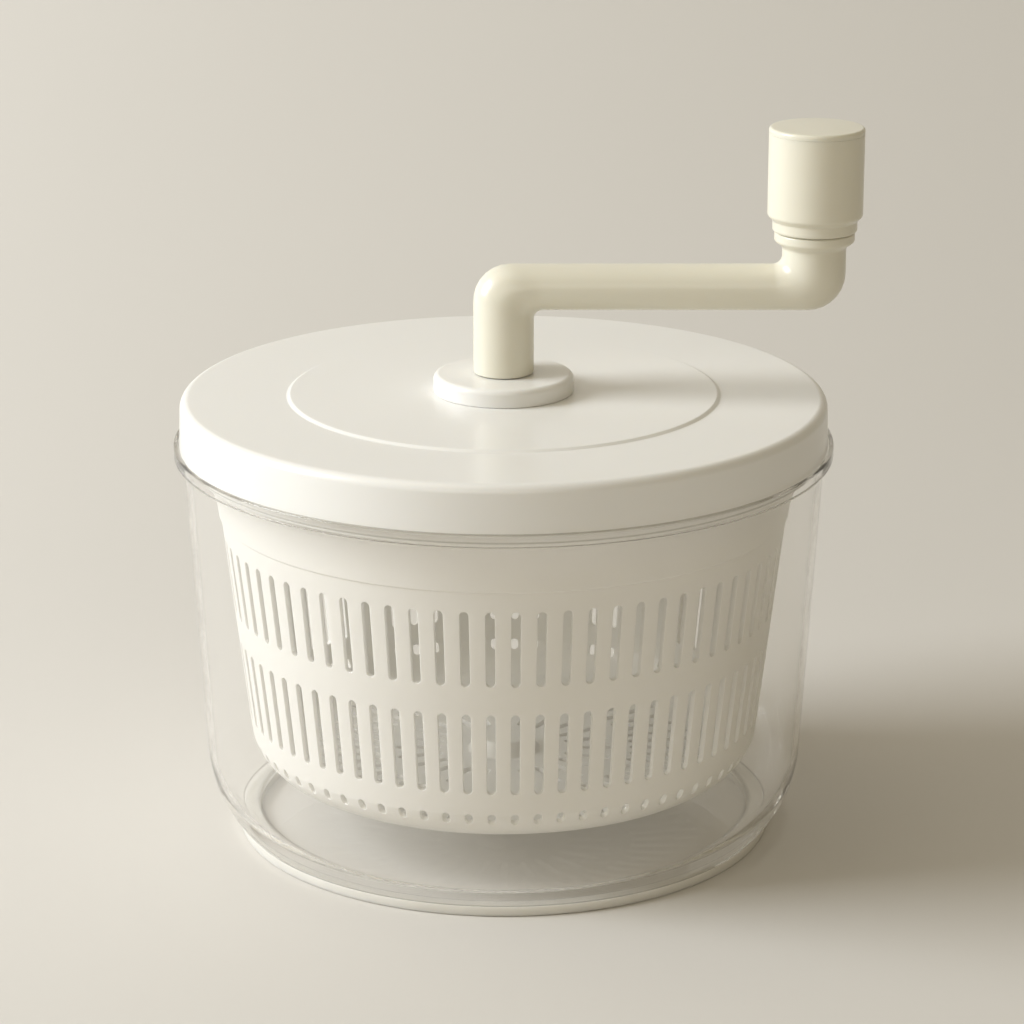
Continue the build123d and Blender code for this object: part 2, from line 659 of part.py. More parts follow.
knob_axis = Axis((ARM_LENGTH, 0, 0), (0, 0, 1))
with BuildPart() as knob_grip:
    with BuildSketch(Plane.XZ):
        with BuildLine():
            FilletPolyline(
                (ARM_LENGTH + SPINDLE_R + RUNNING_GAP, KNOB_LOW_Z),
                (ARM_LENGTH + KNOB_SKIRT_R, KNOB_LOW_Z),
                (ARM_LENGTH + KNOB_SKIRT_R, KNOB_LOW_Z + KNOB_SKIRT_H),
                (ARM_LENGTH + KNOB_R, KNOB_LOW_Z + KNOB_SKIRT_H + 2),
                (ARM_LENGTH + KNOB_R, KNOB_SEAM_Z),
                radius=[1.0, 0.8, 1.4],
            )
            Polyline(
                (ARM_LENGTH + KNOB_R, KNOB_SEAM_Z),
                (ARM_LENGTH + KNOB_POCKET_R, KNOB_SEAM_Z),
                (ARM_LENGTH + KNOB_POCKET_R, KNOB_POCKET_Z),
                (ARM_LENGTH + SPINDLE_R + RUNNING_GAP, KNOB_POCKET_Z),
                (ARM_LENGTH + SPINDLE_R + RUNNING_GAP, KNOB_LOW_Z),
            )
        make_face()
    revolve(axis=knob_axis)
finish(knob_grip, "knob_grip")

with BuildPart() as knob_cap:
    with BuildSketch(Plane.XY.offset(KNOB_SEAM_Z)):
        with Locations((ARM_LENGTH, 0)):
            Circle(KNOB_R)
    extrude(amount=KNOB_TOP_Z - KNOB_SEAM_Z)
    fillet(edges().group_by(Axis.Z)[-1], 2.2)
    with BuildSketch(Plane.XY.offset(KNOB_SEAM_Z)):
        with Locations((ARM_LENGTH, 0)):
            Circle(KNOB_POCKET_R)
            Circle(KNOB_POCKET_R - 1.6, mode=Mode.SUBTRACT)
    extrude(amount=-4)
finish(knob_cap, "knob_cap")

# ---------------------------------------------------------------- drive to the basket
with BuildPart() as sun_gear:
    with BuildSketch(Plane.XY.offset(GEAR_LOW_Z)):
        with BuildLine():
            sun_pitch_r = MODULE * SUN_TEETH / 2
            gear_outline(
                SUN_TEETH,
                sun_pitch_r - 1.25 * MODULE,
                sun_pitch_r + 0.95 * MODULE,
                tooth - TOOTH_THINNING,
            )
        make_face()
    extrude(amount=GEAR_TOP_Z - GEAR_LOW_Z)
    with BuildSketch(Plane.XY.offset(DRIVE_Z + 0.2)):
        Circle(DRIVE_SHAFT_R)
    extrude(amount=GEAR_LOW_Z - DRIVE_Z - 0.2)
    with BuildSketch(Plane.XY.offset(DRIVE_Z + 0.2)):
        with Locations((DRIVE_FLAT + 2, 0)):
            Rectangle(4, 12)
    extrude(amount=12, mode=Mode.SUBTRACT)
    with BuildSketch(Plane.XY.offset(DRIVE_Z + 0.2)):
        Circle(1.7)
    extrude(amount=14, mode=Mode.SUBTRACT)
finish(sun_gear, "sun_gear")

with BuildPart() as drive_disc:
    with BuildSketch(Plane.XY.offset(DRIVE_Z)):
        Circle(DRIVE_R)
    extrude(amount=DRIVE_T)
    with BuildSketch(Plane.XY.offset(DRIVE_Z)):
        Circle(DRIVE_R)
        Circle(DRIVE_R - 2, mode=Mode.SUBTRACT)
    extrude(amount=6)
    with BuildSketch(Plane.XY.offset(DRIVE_Z)):
        Circle(10.5)
    extrude(amount=COVER_LOW_Z - 1.8 - DRIVE_Z)
    with BuildSketch(Plane.XY.offset(DRIVE_Z)):
        with PolarLocations((10 + DRIVE_R) / 2 - 0.5, DRIVE_RIB_COUNT, start_angle=180 / DRIVE_RIB_COUNT):
            Rectangle(DRIVE_R - 11, 1.8)
    extrude(amount=6)
    with BuildSketch(Plane.XY.offset(DRIVE_Z)):
        with PolarLocations(DRIVE_R, DRIVE_RIB_COUNT):
            Rectangle(2 * (DRIVE_R - DRIVE_RIB_R + 0.8), DRIVE_RIB_W + 1.4)
    extrude(amount=6, mode=Mode.SUBTRACT)
    with BuildSketch(Plane.XY.offset(DRIVE_Z)):
        Circle(DRIVE_SHAFT_R)
        with Locations((DRIVE_FLAT + 2, 0)):
            Rectangle(4, 12, mode=Mode.SUBTRACT)
    extrude(amount=12.2, mode=Mode.SUBTRACT)
    with BuildSketch(Plane.XY.offset(DRIVE_Z + 12.2)):
        Circle(DRIVE_SHAFT_R)
    extrude(amount=6, mode=Mode.SUBTRACT)
finish(drive_disc, "drive_disc")

with BuildPart() as drive_washer:
    with BuildSketch(Plane.XY.offset(DRIVE_Z - 1)):
        Circle(8)
        Circle(1.9, mode=Mode.SUBTRACT)
    extrude(amount=1)
finish(drive_washer, "drive_washer")

with BuildPart() as drive_screw:
    with BuildSketch(Plane.XY.offset(DRIVE_Z - 3.2)):
        Circle(3.6)
    extrude(amount=2.2)
    fillet(edges().group_by(Axis.Z)[0], 1.1)
    with BuildSketch(Plane.XY.offset(DRIVE_Z - 1)):
        Circle(1.7)
    extrude(amount=13)
    with BuildSketch(Plane.XY.offset(DRIVE_Z - 3.2)):
        Rectangle(3.6, 0.8)
        Rectangle(0.8, 3.6)
    extrude(amount=1.2, mode=Mode.SUBTRACT)
finish(drive_screw, "drive_screw")
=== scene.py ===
"""The look of a crank-driven salad spinner, built around its CAD frame.

The frame is in metres: the spin axis is Z, the worktop is z = 0 and the crank arm points along +X at rest.
The classes below hold their sizes in millimetres, and the modelling helpers turn them into metres.
Each sub-assembly is a class that models its pieces, gives them their finish and hands them to the frame.
"""

import sys

import json
import logging
from contextlib import contextmanager
from dataclasses import dataclass
from enum import Enum
from math import acos, atan2, ceil, cos, degrees, hypot, pi, radians, sin, sqrt, tan
from typing import Any, Callable, Iterator, Mapping, Sequence

import bmesh
import bpy
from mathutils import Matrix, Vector


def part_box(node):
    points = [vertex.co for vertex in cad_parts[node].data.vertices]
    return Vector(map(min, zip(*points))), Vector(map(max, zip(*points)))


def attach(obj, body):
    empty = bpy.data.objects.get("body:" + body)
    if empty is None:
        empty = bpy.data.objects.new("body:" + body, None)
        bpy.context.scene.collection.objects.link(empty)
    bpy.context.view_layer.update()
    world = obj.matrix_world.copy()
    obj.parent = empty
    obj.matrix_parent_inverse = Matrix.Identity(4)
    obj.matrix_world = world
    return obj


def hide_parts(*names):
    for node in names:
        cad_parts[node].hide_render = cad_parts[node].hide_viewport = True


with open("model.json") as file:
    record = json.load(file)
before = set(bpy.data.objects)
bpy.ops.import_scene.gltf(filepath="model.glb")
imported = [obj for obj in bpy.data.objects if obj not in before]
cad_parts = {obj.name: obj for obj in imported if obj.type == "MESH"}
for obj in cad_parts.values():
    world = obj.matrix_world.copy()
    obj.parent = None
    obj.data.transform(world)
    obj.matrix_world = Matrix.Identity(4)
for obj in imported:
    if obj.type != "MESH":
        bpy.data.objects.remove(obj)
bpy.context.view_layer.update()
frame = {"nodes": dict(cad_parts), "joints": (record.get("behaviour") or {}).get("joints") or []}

LOG = logging.getLogger("salad_spinner")
MM = 0.001
ROUND = 288  # edges around a large turned piece
ROUND_SMALL = 96  # edges around a small one
TINY = 1e-5  # less than this counts as nothing
LEVEL = 0.02  # how close to a height a vertex lies to be in its row, in millimetres
HALF_EDGE = 0.48  # how much of an edge the rounding of a corner may use
STEEP = 0.5  # a face whose normal rises less than this counts as upright

Point = tuple[float, float]
Colour = tuple[float, float, float]
Object = bpy.types.Object


# ---------------------------------------------------------------- outlines


@dataclass(frozen=True)
class Corner:
    """A corner of an outline.

    Args:
        r: Distance from the axis, in millimetres.
        z: Height, in millimetres.
        radius: How far the corner is rounded.
    """

    r: float
    z: float
    radius: float = 0.0


def arc_to(start: Point, heading: Point, end: Point, steps: int) -> list[Point]:
    """Follows the arc that leaves a point along a heading and reaches another point.

    Args:
        start: Where the arc starts.
        heading: Its direction there.
        end: Where it ends.
        steps: How many straight steps it takes.

    Returns:
        The points after start, up to and with end.
    """
    length = hypot(*heading)
    along = Vector((heading[0] / length, heading[1] / length))
    across = Vector((-along.y, along.x))
    chord = Vector((end[0] - start[0], end[1] - start[1]))
    side = chord.dot(across)
    radius = chord.length_squared / (2 * side)
    turn = 2 * atan2(side, chord.dot(along))
    middle = Vector(start) + across * radius
    points = []
    for step in range(1, steps + 1):
        angle = turn * step / steps
        place = middle - across * radius * cos(angle) + along * radius * sin(angle)
        points.append((place.x, place.y))
    return points


def rounded(corners: Sequence[Corner], closed: bool = False, step_degrees: float = 15.0) -> list[Point]:
    """Rounds the corners of an outline.

    Args:
        corners: The outline's corners in order.
        closed: Whether the last corner joins the first.
        step_degrees: The largest turn between two steps of a rounding.

    Returns:
        The outline's points. A closed outline ends with its first point again.
    """
    points: list[Point] = []
    count = len(corners)
    for index, corner in enumerate(corners):
        here = Vector((corner.r, corner.z))
        at_end = not closed and index in (0, count - 1)
        if corner.radius <= 0 or at_end:
            points.append((here.x, here.y))
            continue
        before = corners[index - 1]
        after = corners[(index + 1) % count]
        back = Vector((before.r, before.z)) - here
        ahead = Vector((after.r, after.z)) - here
        room = HALF_EDGE * min(back.length, ahead.length)
        back.normalize()
        ahead.normalize()
        opening = acos(max(-1.0, min(1.0, back.dot(ahead))))
        reach = min(room, corner.radius / tan(opening / 2))
        start = here + back * reach
        end = here + ahead * reach
        steps = max(2, ceil(degrees(pi - opening) / step_degrees))
        points.append((start.x, start.y))
        points.extend(arc_to((start.x, start.y), (-back.x, -back.y), (end.x, end.y), steps))
    if closed:
        points.append(points[0])
    return points


# ---------------------------------------------------------------- modelling


def metres(*sizes: float) -> tuple[float, ...]:
    """Turns millimetres into metres."""
    return tuple(size * MM for size in sizes)


def clear_selection() -> None:
    """Deselects every object, so that an operator works on the new piece alone."""
    bpy.ops.object.select_all(action="DESELECT")


def choose(piece: Object) -> None:
    """Makes a piece the only one that an operator works on."""
    clear_selection()
    piece.select_set(True)
    bpy.context.view_layer.objects.active = piece


@contextmanager
def editing(piece: Object, mode: str = "VERT") -> Iterator[None]:
    """Opens one piece in edit mode with nothing selected.

    Args:
        piece: The piece to edit.
        mode: What is selected: VERT, EDGE or FACE.

    Yields:
        Nothing; the piece is closed again afterwards.
    """
    choose(piece)
    bpy.ops.object.mode_set(mode="EDIT")
    bpy.ops.mesh.select_mode(type=mode)
    bpy.ops.mesh.select_all(action="DESELECT")
    yield
    bpy.ops.object.mode_set(mode="OBJECT")


def pick(piece: Object, test: Callable[[Vector], bool]) -> None:
    """Selects the vertices of the open piece that pass a test on their place in millimetres.

    Args:
        piece: The piece in edit mode, with vertices being selected.
        test: Says whether a place is wanted.
    """
    shape = bmesh.from_edit_mesh(piece.data)
    for vertex in shape.verts:
        vertex.select_set(test(vertex.co / MM))
    shape.select_flush_mode()
    bmesh.update_edit_mesh(piece.data)


def pick_faces(piece: Object, test: Callable[[Vector, Vector], bool]) -> None:
    """Selects the faces of the open piece that pass a test on their middle, in millimetres, and normal.

    Args:
        piece: The piece in edit mode, with faces being selected.
        test: Says whether a face is wanted.
    """
    shape = bmesh.from_edit_mesh(piece.data)
    for face in shape.faces:
        face.select_set(test(face.calc_center_median() / MM, face.normal))
    shape.select_flush_mode()
    bmesh.update_edit_mesh(piece.data)


def settle(piece: Object) -> None:
    """Moves a new piece's place, turn and size into its mesh."""
    choose(piece)
    bpy.ops.object.transform_apply(location=True, rotation=True, scale=True)


def add_modifier(piece: Object, kind: str, **settings: Any) -> None:
    """Adds one modifier to a piece and applies it.

    Args:
        piece: The piece to change.
        kind: The modifier's type.
        settings: The modifier's settings.
    """
    bpy.context.view_layer.objects.active = piece
    modifier = piece.modifiers.new(kind.title(), kind)
    for name, value in settings.items():
        setattr(modifier, name, value)
    bpy.ops.object.modifier_apply(modifier=modifier.name)


def extrude_ring(start: Point, end: Point) -> None:
    """Extrudes the selected ring from one point of an outline to the next, about the Z axis."""
    bpy.ops.mesh.extrude_region_move(TRANSFORM_OT_translate={"value": metres(0, 0, end[1] - start[1])})
    scale = end[0] / start[0]
    bpy.ops.transform.resize(value=(scale, scale, 1), center_override=(0, 0, 0))


def close_pole(height: float, tip: float) -> None:
    """Closes the selected ring with a pole on the axis.

    Args:
        height: The ring's height.
        tip: The pole's height.
    """
    bpy.ops.mesh.extrude_region_move(TRANSFORM_OT_translate={"value": metres(0, 0, tip - height)})
    bpy.ops.mesh.merge(type="CENTER")


def turned(name: str, outline: Sequence[Point], edges: int = ROUND, axis: Point = (0, 0)) -> Object:
    """Turns an outline about a vertical axis, one ring after another.

    Args:
        name: The piece's name.
        outline: Its outline, as radius and height. An end on the axis becomes a pole, and an outline that
            ends where it starts becomes a ring.
        edges: How many edges go round it.
        axis: Where the axis stands.

    Returns:
        The closed piece.
    """
    rings = [point for point in outline if point[0] > TINY]
    clear_selection()
    first_r, first_z = rings[0]
    bpy.ops.mesh.primitive_circle_add(vertices=edges, radius=first_r * MM, location=metres(0, 0, first_z))
    piece = bpy.context.object
    piece.name = name
    settle(piece)
    with editing(piece, "EDGE"):
        bpy.ops.mesh.select_all(action="SELECT")
        for start, end in zip(rings, rings[1:]):
            extrude_ring(start, end)
        if outline[-1][0] <= TINY:
            close_pole(rings[-1][1], outline[-1][1])
        if outline[0][0] <= TINY:
            bpy.ops.mesh.select_mode(type="VERT")
            bpy.ops.mesh.select_all(action="DESELECT")
            bpy.ops.mesh.select_non_manifold(use_wire=False, use_multi_face=False, use_non_contiguous=False)
            close_pole(first_z, outline[0][1])
        tidy_surface()
        bpy.ops.transform.translate(value=metres(*axis, 0))
    return piece


def tidy_surface() -> None:
    """Merges doubled vertices of the open piece and points its faces outwards."""
    bpy.ops.mesh.select_all(action="SELECT")
    bpy.ops.mesh.remove_doubles(threshold=TINY)
    bpy.ops.mesh.normals_make_consistent(inside=False)


def block(name: str, size: Sequence[float], place: Sequence[float], soften: float) -> Object:
    """Models a small moulded block with softened edges.

    Args:
        name: The piece's name.
        size: Its length, width and height.
        place: Its middle.
        soften: How far its edges are rounded.

    Returns:
        The block.
    """
    clear_selection()
    bpy.ops.mesh.primitive_cube_add(size=MM)
    piece = bpy.context.object
    piece.name = name
    with editing(piece, "EDGE"):
        bpy.ops.mesh.select_all(action="SELECT")
        bpy.ops.transform.resize(value=tuple(size), center_override=(0, 0, 0))
        bpy.ops.mesh.bevel(offset=soften * MM, segments=2, affect="EDGES")
        bpy.ops.mesh.select_all(action="SELECT")
        bpy.ops.transform.translate(value=metres(*place))
    return piece


def repeat_round(piece: Object, count: int) -> None:
    """Copies all of a piece round the Z axis, so that it stands there count times in all."""
    with editing(piece):
        bpy.ops.mesh.select_all(action="SELECT")
        steps = count - 1
        step = 2 * pi / count
        bpy.ops.mesh.spin(steps=steps, dupli=True, angle=step * steps, center=(0, 0, 0), axis=(0, 0, 1))


def turn_about_axis(piece: Object, angle_degrees: float) -> None:
    """Turns a piece's mesh about the Z axis."""
    piece.rotation_euler = (0, 0, radians(angle_degrees))
    settle(piece)


def join(pieces: Sequence[Object]) -> Object:
    """Joins pieces into the first of them."""
    clear_selection()
    for piece in pieces:
        piece.select_set(True)
    bpy.context.view_layer.objects.active = pieces[0]
    bpy.ops.object.join()
    return pieces[0]


def smooth(piece: Object, angle_degrees: float) -> None:
    """Shades a piece smoothly up to an angle, and keeps its large faces flat."""
    choose(piece)
    bpy.ops.object.shade_smooth_by_angle(angle=radians(angle_degrees))
    add_modifier(piece, "WEIGHTED_NORMAL", keep_sharp=True, weight=60)


# ---------------------------------------------------------------- shader writing


class Signal:
    """A number in a shader, which Python's own operators combine into Math nodes."""

    FALL = 0.37  # what is left of a line one width away from its middle

    def __init__(self, sheet: "ShaderSheet", socket: bpy.types.NodeSocket) -> None:
        """Wraps one output socket of a sheet."""
        self.sheet = sheet
        self.socket = socket

    def _math(self, operation: str, first: Any, second: Any) -> "Signal":
        """Adds a Math node on two numbers or signals."""
        node = self.sheet.node("Math", {"operation": operation}, {0: first, 1: second})
        return Signal(self.sheet, node.outputs[0])

    def __add__(self, other: Any) -> "Signal":
        """Adds."""
        return self._math("ADD", self, other)

    def __radd__(self, other: Any) -> "Signal":
        """Adds."""
        return self._math("ADD", other, self)

    def __sub__(self, other: Any) -> "Signal":
        """Subtracts."""
        return self._math("SUBTRACT", self, other)

    def __rsub__(self, other: Any) -> "Signal":
        """Subtracts from a number."""
        return self._math("SUBTRACT", other, self)

    def __mul__(self, other: Any) -> "Signal":
        """Multiplies."""
        return self._math("MULTIPLY", self, other)

    def __rmul__(self, other: Any) -> "Signal":
        """Multiplies."""
        return self._math("MULTIPLY", other, self)

    def __rpow__(self, other: Any) -> "Signal":
        """Raises a number to this power."""
        return self._math("POWER", other, self)

    def line(self, middle: float, width: float) -> "Signal":
        """Draws a soft line.

        Args:
            middle: The value of this signal where the line is 1.
            width: How far from there it has fallen to 0.37; at twice that it is nearly 0.

        Returns:
            The line.
        """
        away = (self - middle) * (1 / width)
        return self.FALL ** (away * away)


class ShaderSheet:
    """The node tree of one material."""

    def __init__(self, name: str) -> None:
        """Starts a material with an empty tree."""
        self.material = bpy.data.materials.new(name)
        self.material.use_nodes = True
        self.tree = self.material.node_tree
        self.tree.nodes.clear()

    def node(self, kind: str, settings: Mapping[str, Any], values: Mapping[Any, Any]) -> bpy.types.Node:
        """Adds a node.

        Args:
            kind: The node's type, without the ShaderNode that starts every type's name.
            settings: Its settings, which are set first.
            values: Numbers, colours, signals or sockets for its inputs, by name or place.

        Returns:
            The new node.
        """
        node = self.tree.nodes.new("ShaderNode" + kind)
        for name, value in settings.items():
            setattr(node, name, value)
        for name, value in values.items():
            source = value.socket if isinstance(value, Signal) else value
            if isinstance(source, bpy.types.NodeSocket):
                self.tree.links.new(source, node.inputs[name])
            else:
                node.inputs[name].default_value = source
        return node

    def principled(self, values: Mapping[str, Any]) -> bpy.types.NodeSocket:
        """Adds the main shader and returns its surface."""
        return self.node("BsdfPrincipled", {}, values).outputs[0]

    def noise(self, size: float, detail: float = 2.0, stretch: Sequence[float] = (1, 1, 1)) -> Signal:
        """Adds a noise that runs from 0 to 1.

        Args:
            size: The size of its patches, in millimetres.
            detail: How much finer noise lies on it.
            stretch: How many times finer it is along each axis.

        Returns:
            The noise.
        """
        place = self.node("TexCoord", {}, {}).outputs["Object"]
        mapping = self.node("Mapping", {}, {"Vector": place, "Scale": tuple(stretch)})
        values = {"Vector": mapping.outputs[0], "Scale": 1 / (size * MM), "Detail": detail}
        return Signal(self, self.node("TexNoise", {}, values).outputs[0])

    def height_and_radius(self) -> tuple[Signal, Signal]:
        """The height and the distance from the spin axis, in millimetres."""
        place = self.node("TexCoord", {}, {}).outputs["Object"]
        axes = self.node("SeparateXYZ", {}, {0: place}).outputs
        x, y, z = (Signal(self, axis) * (1 / MM) for axis in axes)
        root = self.node("Math", {"operation": "SQRT"}, {0: x * x + y * y})
        return z, Signal(self, root.outputs[0])

    def blend(self, factor: Any, first: Any, second: Any) -> bpy.types.NodeSocket:
        """Mixes two colours and returns the mix."""
        values = {0: factor, 6: first, 7: second}
        return self.node("Mix", {"data_type": "RGBA"}, values).outputs[2]

    def bump(self, height: Signal, depth: float) -> bpy.types.NodeSocket:
        """Adds a relief of a depth in millimetres and returns its normal."""
        values = {"Height": height, "Distance": depth * MM, "Strength": 1.0}
        return self.node("Bump", {}, values).outputs[0]

    def let_through(
        self, surface: bpy.types.NodeSocket, colour: Sequence[float], rays: Sequence[str]
    ) -> bpy.types.NodeSocket:
        """Lets some kinds of light straight through a surface.

        Args:
            surface: The surface as the eye sees it.
            colour: What is left of the light.
            rays: The kinds of light, as the Light Path node names them.

        Returns:
            The surface that does so.
        """
        path = self.node("LightPath", {}, {})
        passing = self.node("BsdfTransparent", {}, {"Color": colour})
        for kind in rays:
            values = {0: path.outputs[kind], 1: surface, 2: passing.outputs[0]}
            surface = self.node("MixShader", {}, values).outputs[0]
        return surface

    def finish(self, shader: bpy.types.NodeSocket) -> bpy.types.Material:
        """Connects the surface and returns the material."""
        self.node("OutputMaterial", {}, {"Surface": shader})
        return self.material


def tint(colour: Colour, factor: float) -> tuple[float, float, float, float]:
    """A colour made lighter or darker, as a shader takes it."""
    return (*(min(1.0, channel * factor) for channel in colour), 1.0)


# ---------------------------------------------------------------- finishes


class Polish(Enum):
    """How a mould was polished: roughness, depth of its grain in millimetres, and weight of a clear coat."""

    GLOSS = (0.29, 0.0008, 0.15)
    SATIN = (0.38, 0.0040, 0.0)
    MATT = (0.52, 0.0070, 0.0)


@dataclass(frozen=True)
class MouldedPlastic:
    """Solid moulded plastic, with the faint mottling and grain of its mould.

    Args:
        name: The material's name.
        colour: Its colour.
        polish: How its mould was polished.
        glow: How much light spreads under its surface.
        glow_colour: How far each colour of that light spreads.
        glow_depth: How deep it reaches, in millimetres.
        passing: The share of lamplight that goes through a wall of it.
    """

    name: str
    colour: Colour
    polish: Polish
    glow: float = 0.12
    glow_colour: Colour = (1.0, 0.85, 0.65)
    glow_depth: float = 4.0
    passing: float = 0.0

    def material(self) -> bpy.types.Material:
        """Builds the material."""
        sheet = ShaderSheet(self.name)
        roughness, grain, coat = self.polish.value
        flow = sheet.noise(60, 2.0)
        smear = sheet.noise(22, 2.0, (1, 1, 0.6))
        peel = sheet.noise(5.0, 1.0)
        speck = sheet.noise(0.5, 1.0)
        surface = sheet.principled({
            "Base Color": sheet.blend(flow, tint(self.colour, 0.992), tint(self.colour, 1.008)),
            "Roughness": roughness - 0.02 + 0.02 * smear + 0.02 * speck,
            "Normal": sheet.bump(peel + 0.06 * speck, grain),
            "IOR": 1.49,
            "Coat Weight": coat,
            "Coat Roughness": 0.08,
            "Subsurface Weight": self.glow,
            "Subsurface Radius": self.glow_colour,
            "Subsurface Scale": self.glow_depth * MM,
        })
        if not self.passing:
            return sheet.finish(surface)
        left = tint(self.colour, self.passing)
        return sheet.finish(sheet.let_through(surface, left, ("Is Shadow Ray",)))


@dataclass(frozen=True)
class ClearPlastic:
    """Clear moulded plastic that lets lamps through to what is inside, with shade painted as dark lines along
    its corners.

    Args:
        name: The material's name.
        colour: The tint of what is seen through it.
        shade_line_colour: The colour of the shade painted along its corners.
        haze: Its roughness.
        shade: How much lamplight passes each wall.
        bend: How much its walls bend what is seen through them, as an index of refraction.
        clearness: The share of its light that isn't scattered to milkiness.
        shade_line_heights: The heights of its outer corners, where shade lines are painted, in millimetres.
        floor_shade_line: The radius and the height of its inner corner, where a shade line is painted, in
            millimetres.
        floor_shade_line: The radius and the height of its inner corner, in millimetres.
        line: Half the width of an outer corner's painted shade line, and of the inner one's across and up.
    """

    name: str
    colour: Colour
    shade_line_colour: Colour
    haze: float
    shade: float
    bend: float
    clearness: float
    shade_line_heights: tuple[float, ...]
    floor_shade_line: Point
    line: tuple[float, float, float] = (0.35, 1.3, 0.9)

    def material(self) -> bpy.types.Material:
        """Builds the material."""
        sheet = ShaderSheet(self.name)
        smear = sheet.noise(14, 3.0)
        height, radius = sheet.height_and_radius()
        outer, across, up = self.line
        # Painted shade: soft dark lines along the inner floor corner and the outer corners of foot and rim,
        # mixed into the base colour below
        corner = radius.line(self.floor_shade_line[0], across) * height.line(self.floor_shade_line[1], up)
        for place in self.shade_line_heights:
            corner = corner + height.line(place, outer)
        body = sheet.blend(smear, tint(self.colour, 0.985), tint(self.colour, 1.0))
        glass = sheet.principled({
            "Base Color": sheet.blend(corner, body, tint(self.shade_line_colour, 1.0)),
            "Roughness": self.haze + 0.012 * smear,
            "Normal": sheet.bump(sheet.noise(30, 1.0, (1, 1, 0.4)), 0.001),
            "IOR": self.bend,
            "Transmission Weight": self.clearness,
            "Coat Weight": 0.6,
            "Coat Roughness": 0.05,
        })
        left = tint(self.colour, self.shade)
        return sheet.finish(sheet.let_through(glass, left, ("Is Diffuse Ray", "Is Shadow Ray")))


@dataclass(frozen=True)
class Silicone:
    """Milky silicone rubber.

    Args:
        name: The material's name.
        colour: Its colour.
    """

    name: str
    colour: Colour

    def material(self) -> bpy.types.Material:
        """Builds the material."""
        sheet = ShaderSheet(self.name)
        cloud = sheet.noise(12, 2.0)
        dust = sheet.noise(0.6, 3.0)
        surface = sheet.principled({
            "Base Color": sheet.blend(cloud, tint(self.colour, 0.95), tint(self.colour, 1.04)),
            "Roughness": 0.36 + 0.14 * dust,
            "Normal": sheet.bump(dust, 0.006),
            "IOR": 1.41,
            "Subsurface Weight": 0.7,
            "Subsurface Radius": (1.0, 0.95, 0.85),
            "Subsurface Scale": 8 * MM,
        })
        return sheet.finish(surface)


@dataclass(frozen=True)
class TurnedSteel:
    """Turned stainless steel, with fine tool marks round its axis.

    Args:
        name: The material's name.
        colour: Its colour.
    """

    name: str
    colour: Colour

    def material(self) -> bpy.types.Material:
        """Builds the material."""
        sheet = ShaderSheet(self.name)
        marks = sheet.noise(2.0, 3.0, (1, 1, 14))
        stain = sheet.noise(5.0, 2.0)
        surface = sheet.principled({
            "Base Color": sheet.blend(stain, tint(self.colour, 0.9), tint(self.colour, 1.05)),
            "Metallic": 1.0,
            "Roughness": 0.22 + 0.16 * marks,
            "Normal": sheet.bump(marks, 0.006),
        })
        return sheet.finish(surface)


@dataclass(frozen=True)
class PaperSweep:
    """The pale paper that the spinner stands on.

    Args:
        name: The material's name.
        colour: Its colour.
    """

    name: str
    colour: Colour

    def material(self) -> bpy.types.Material:
        """Builds the material."""
        sheet = ShaderSheet(self.name)
        cloud = sheet.noise(400, 1.0)
        surface = sheet.principled({
            "Base Color": sheet.blend(cloud, tint(self.colour, 0.99), tint(self.colour, 1.01)),
            "Roughness": 0.8 + 0.1 * cloud,
            "Specular IOR Level": 0.25,
        })
        return sheet.finish(surface)


class Finishes:
    """Every finish on the spinner, built once."""

    def __init__(self) -> None:
        """Builds the materials."""
        # The clear bowl's second colour and the heights after it paint shade as dark lines along its corners
        self.clear = ClearPlastic(
            "clear_bowl_plastic", (0.995, 0.992, 0.985), (0.42, 0.40, 0.36), haze=0.01, shade=0.99, bend=1.04,
            clearness=0.935, shade_line_heights=(4.5, 150.7, 155.4), floor_shade_line=(97.0, 6.7),
        ).material()
        self.lid = MouldedPlastic("white_lid_plastic", (0.85, 0.84, 0.81), Polish.GLOSS).material()
        self.basket = MouldedPlastic(
            "white_basket_plastic", (0.83, 0.81, 0.765), Polish.SATIN,
            glow=0.5, glow_colour=(1, 1, 0.9), passing=0.7,
        ).material()
        self.inner = MouldedPlastic("white_inner_plastic", (0.86, 0.85, 0.82), Polish.SATIN).material()
        self.crank = MouldedPlastic("cream_crank_plastic", (0.785, 0.755, 0.64), Polish.GLOSS, 0.2).material()
        self.gear = MouldedPlastic("natural_gear_plastic", (0.76, 0.73, 0.64), Polish.MATT, 0.2).material()
        self.bearing = MouldedPlastic("acetal_plastic", (0.72, 0.71, 0.68), Polish.SATIN).material()
        self.silicone = Silicone("silicone_ring", (0.72, 0.70, 0.65)).material()
        self.steel = TurnedSteel("turned_steel", (0.60, 0.60, 0.61)).material()


def dress(piece: Object, material: bpy.types.Material) -> None:
    """Gives a piece or a CAD node one finish all over."""
    if not piece.data.materials:
        piece.data.materials.append(material)
    for slot in piece.material_slots:
        slot.material = material


def hand_over(
    piece: Object, material: bpy.types.Material, node: str, body: str, angle_degrees: float = 40.0
) -> None:
    """Smooths and dresses a finished piece, joins it to its body and puts it in its CAD node's place.

    Args:
        piece: The finished piece.
        material: Its finish.
        node: The CAD node that it replaces.
        body: The body that it moves with.
        angle_degrees: The largest angle between faces that is shaded smoothly.
    """
    smooth(piece, angle_degrees)
    dress(piece, material)
    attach(piece, body)
    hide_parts(node)
    LOG.info("%s: %d faces, on %s", piece.name, len(piece.data.polygons), body)


# ---------------------------------------------------------------- bowl


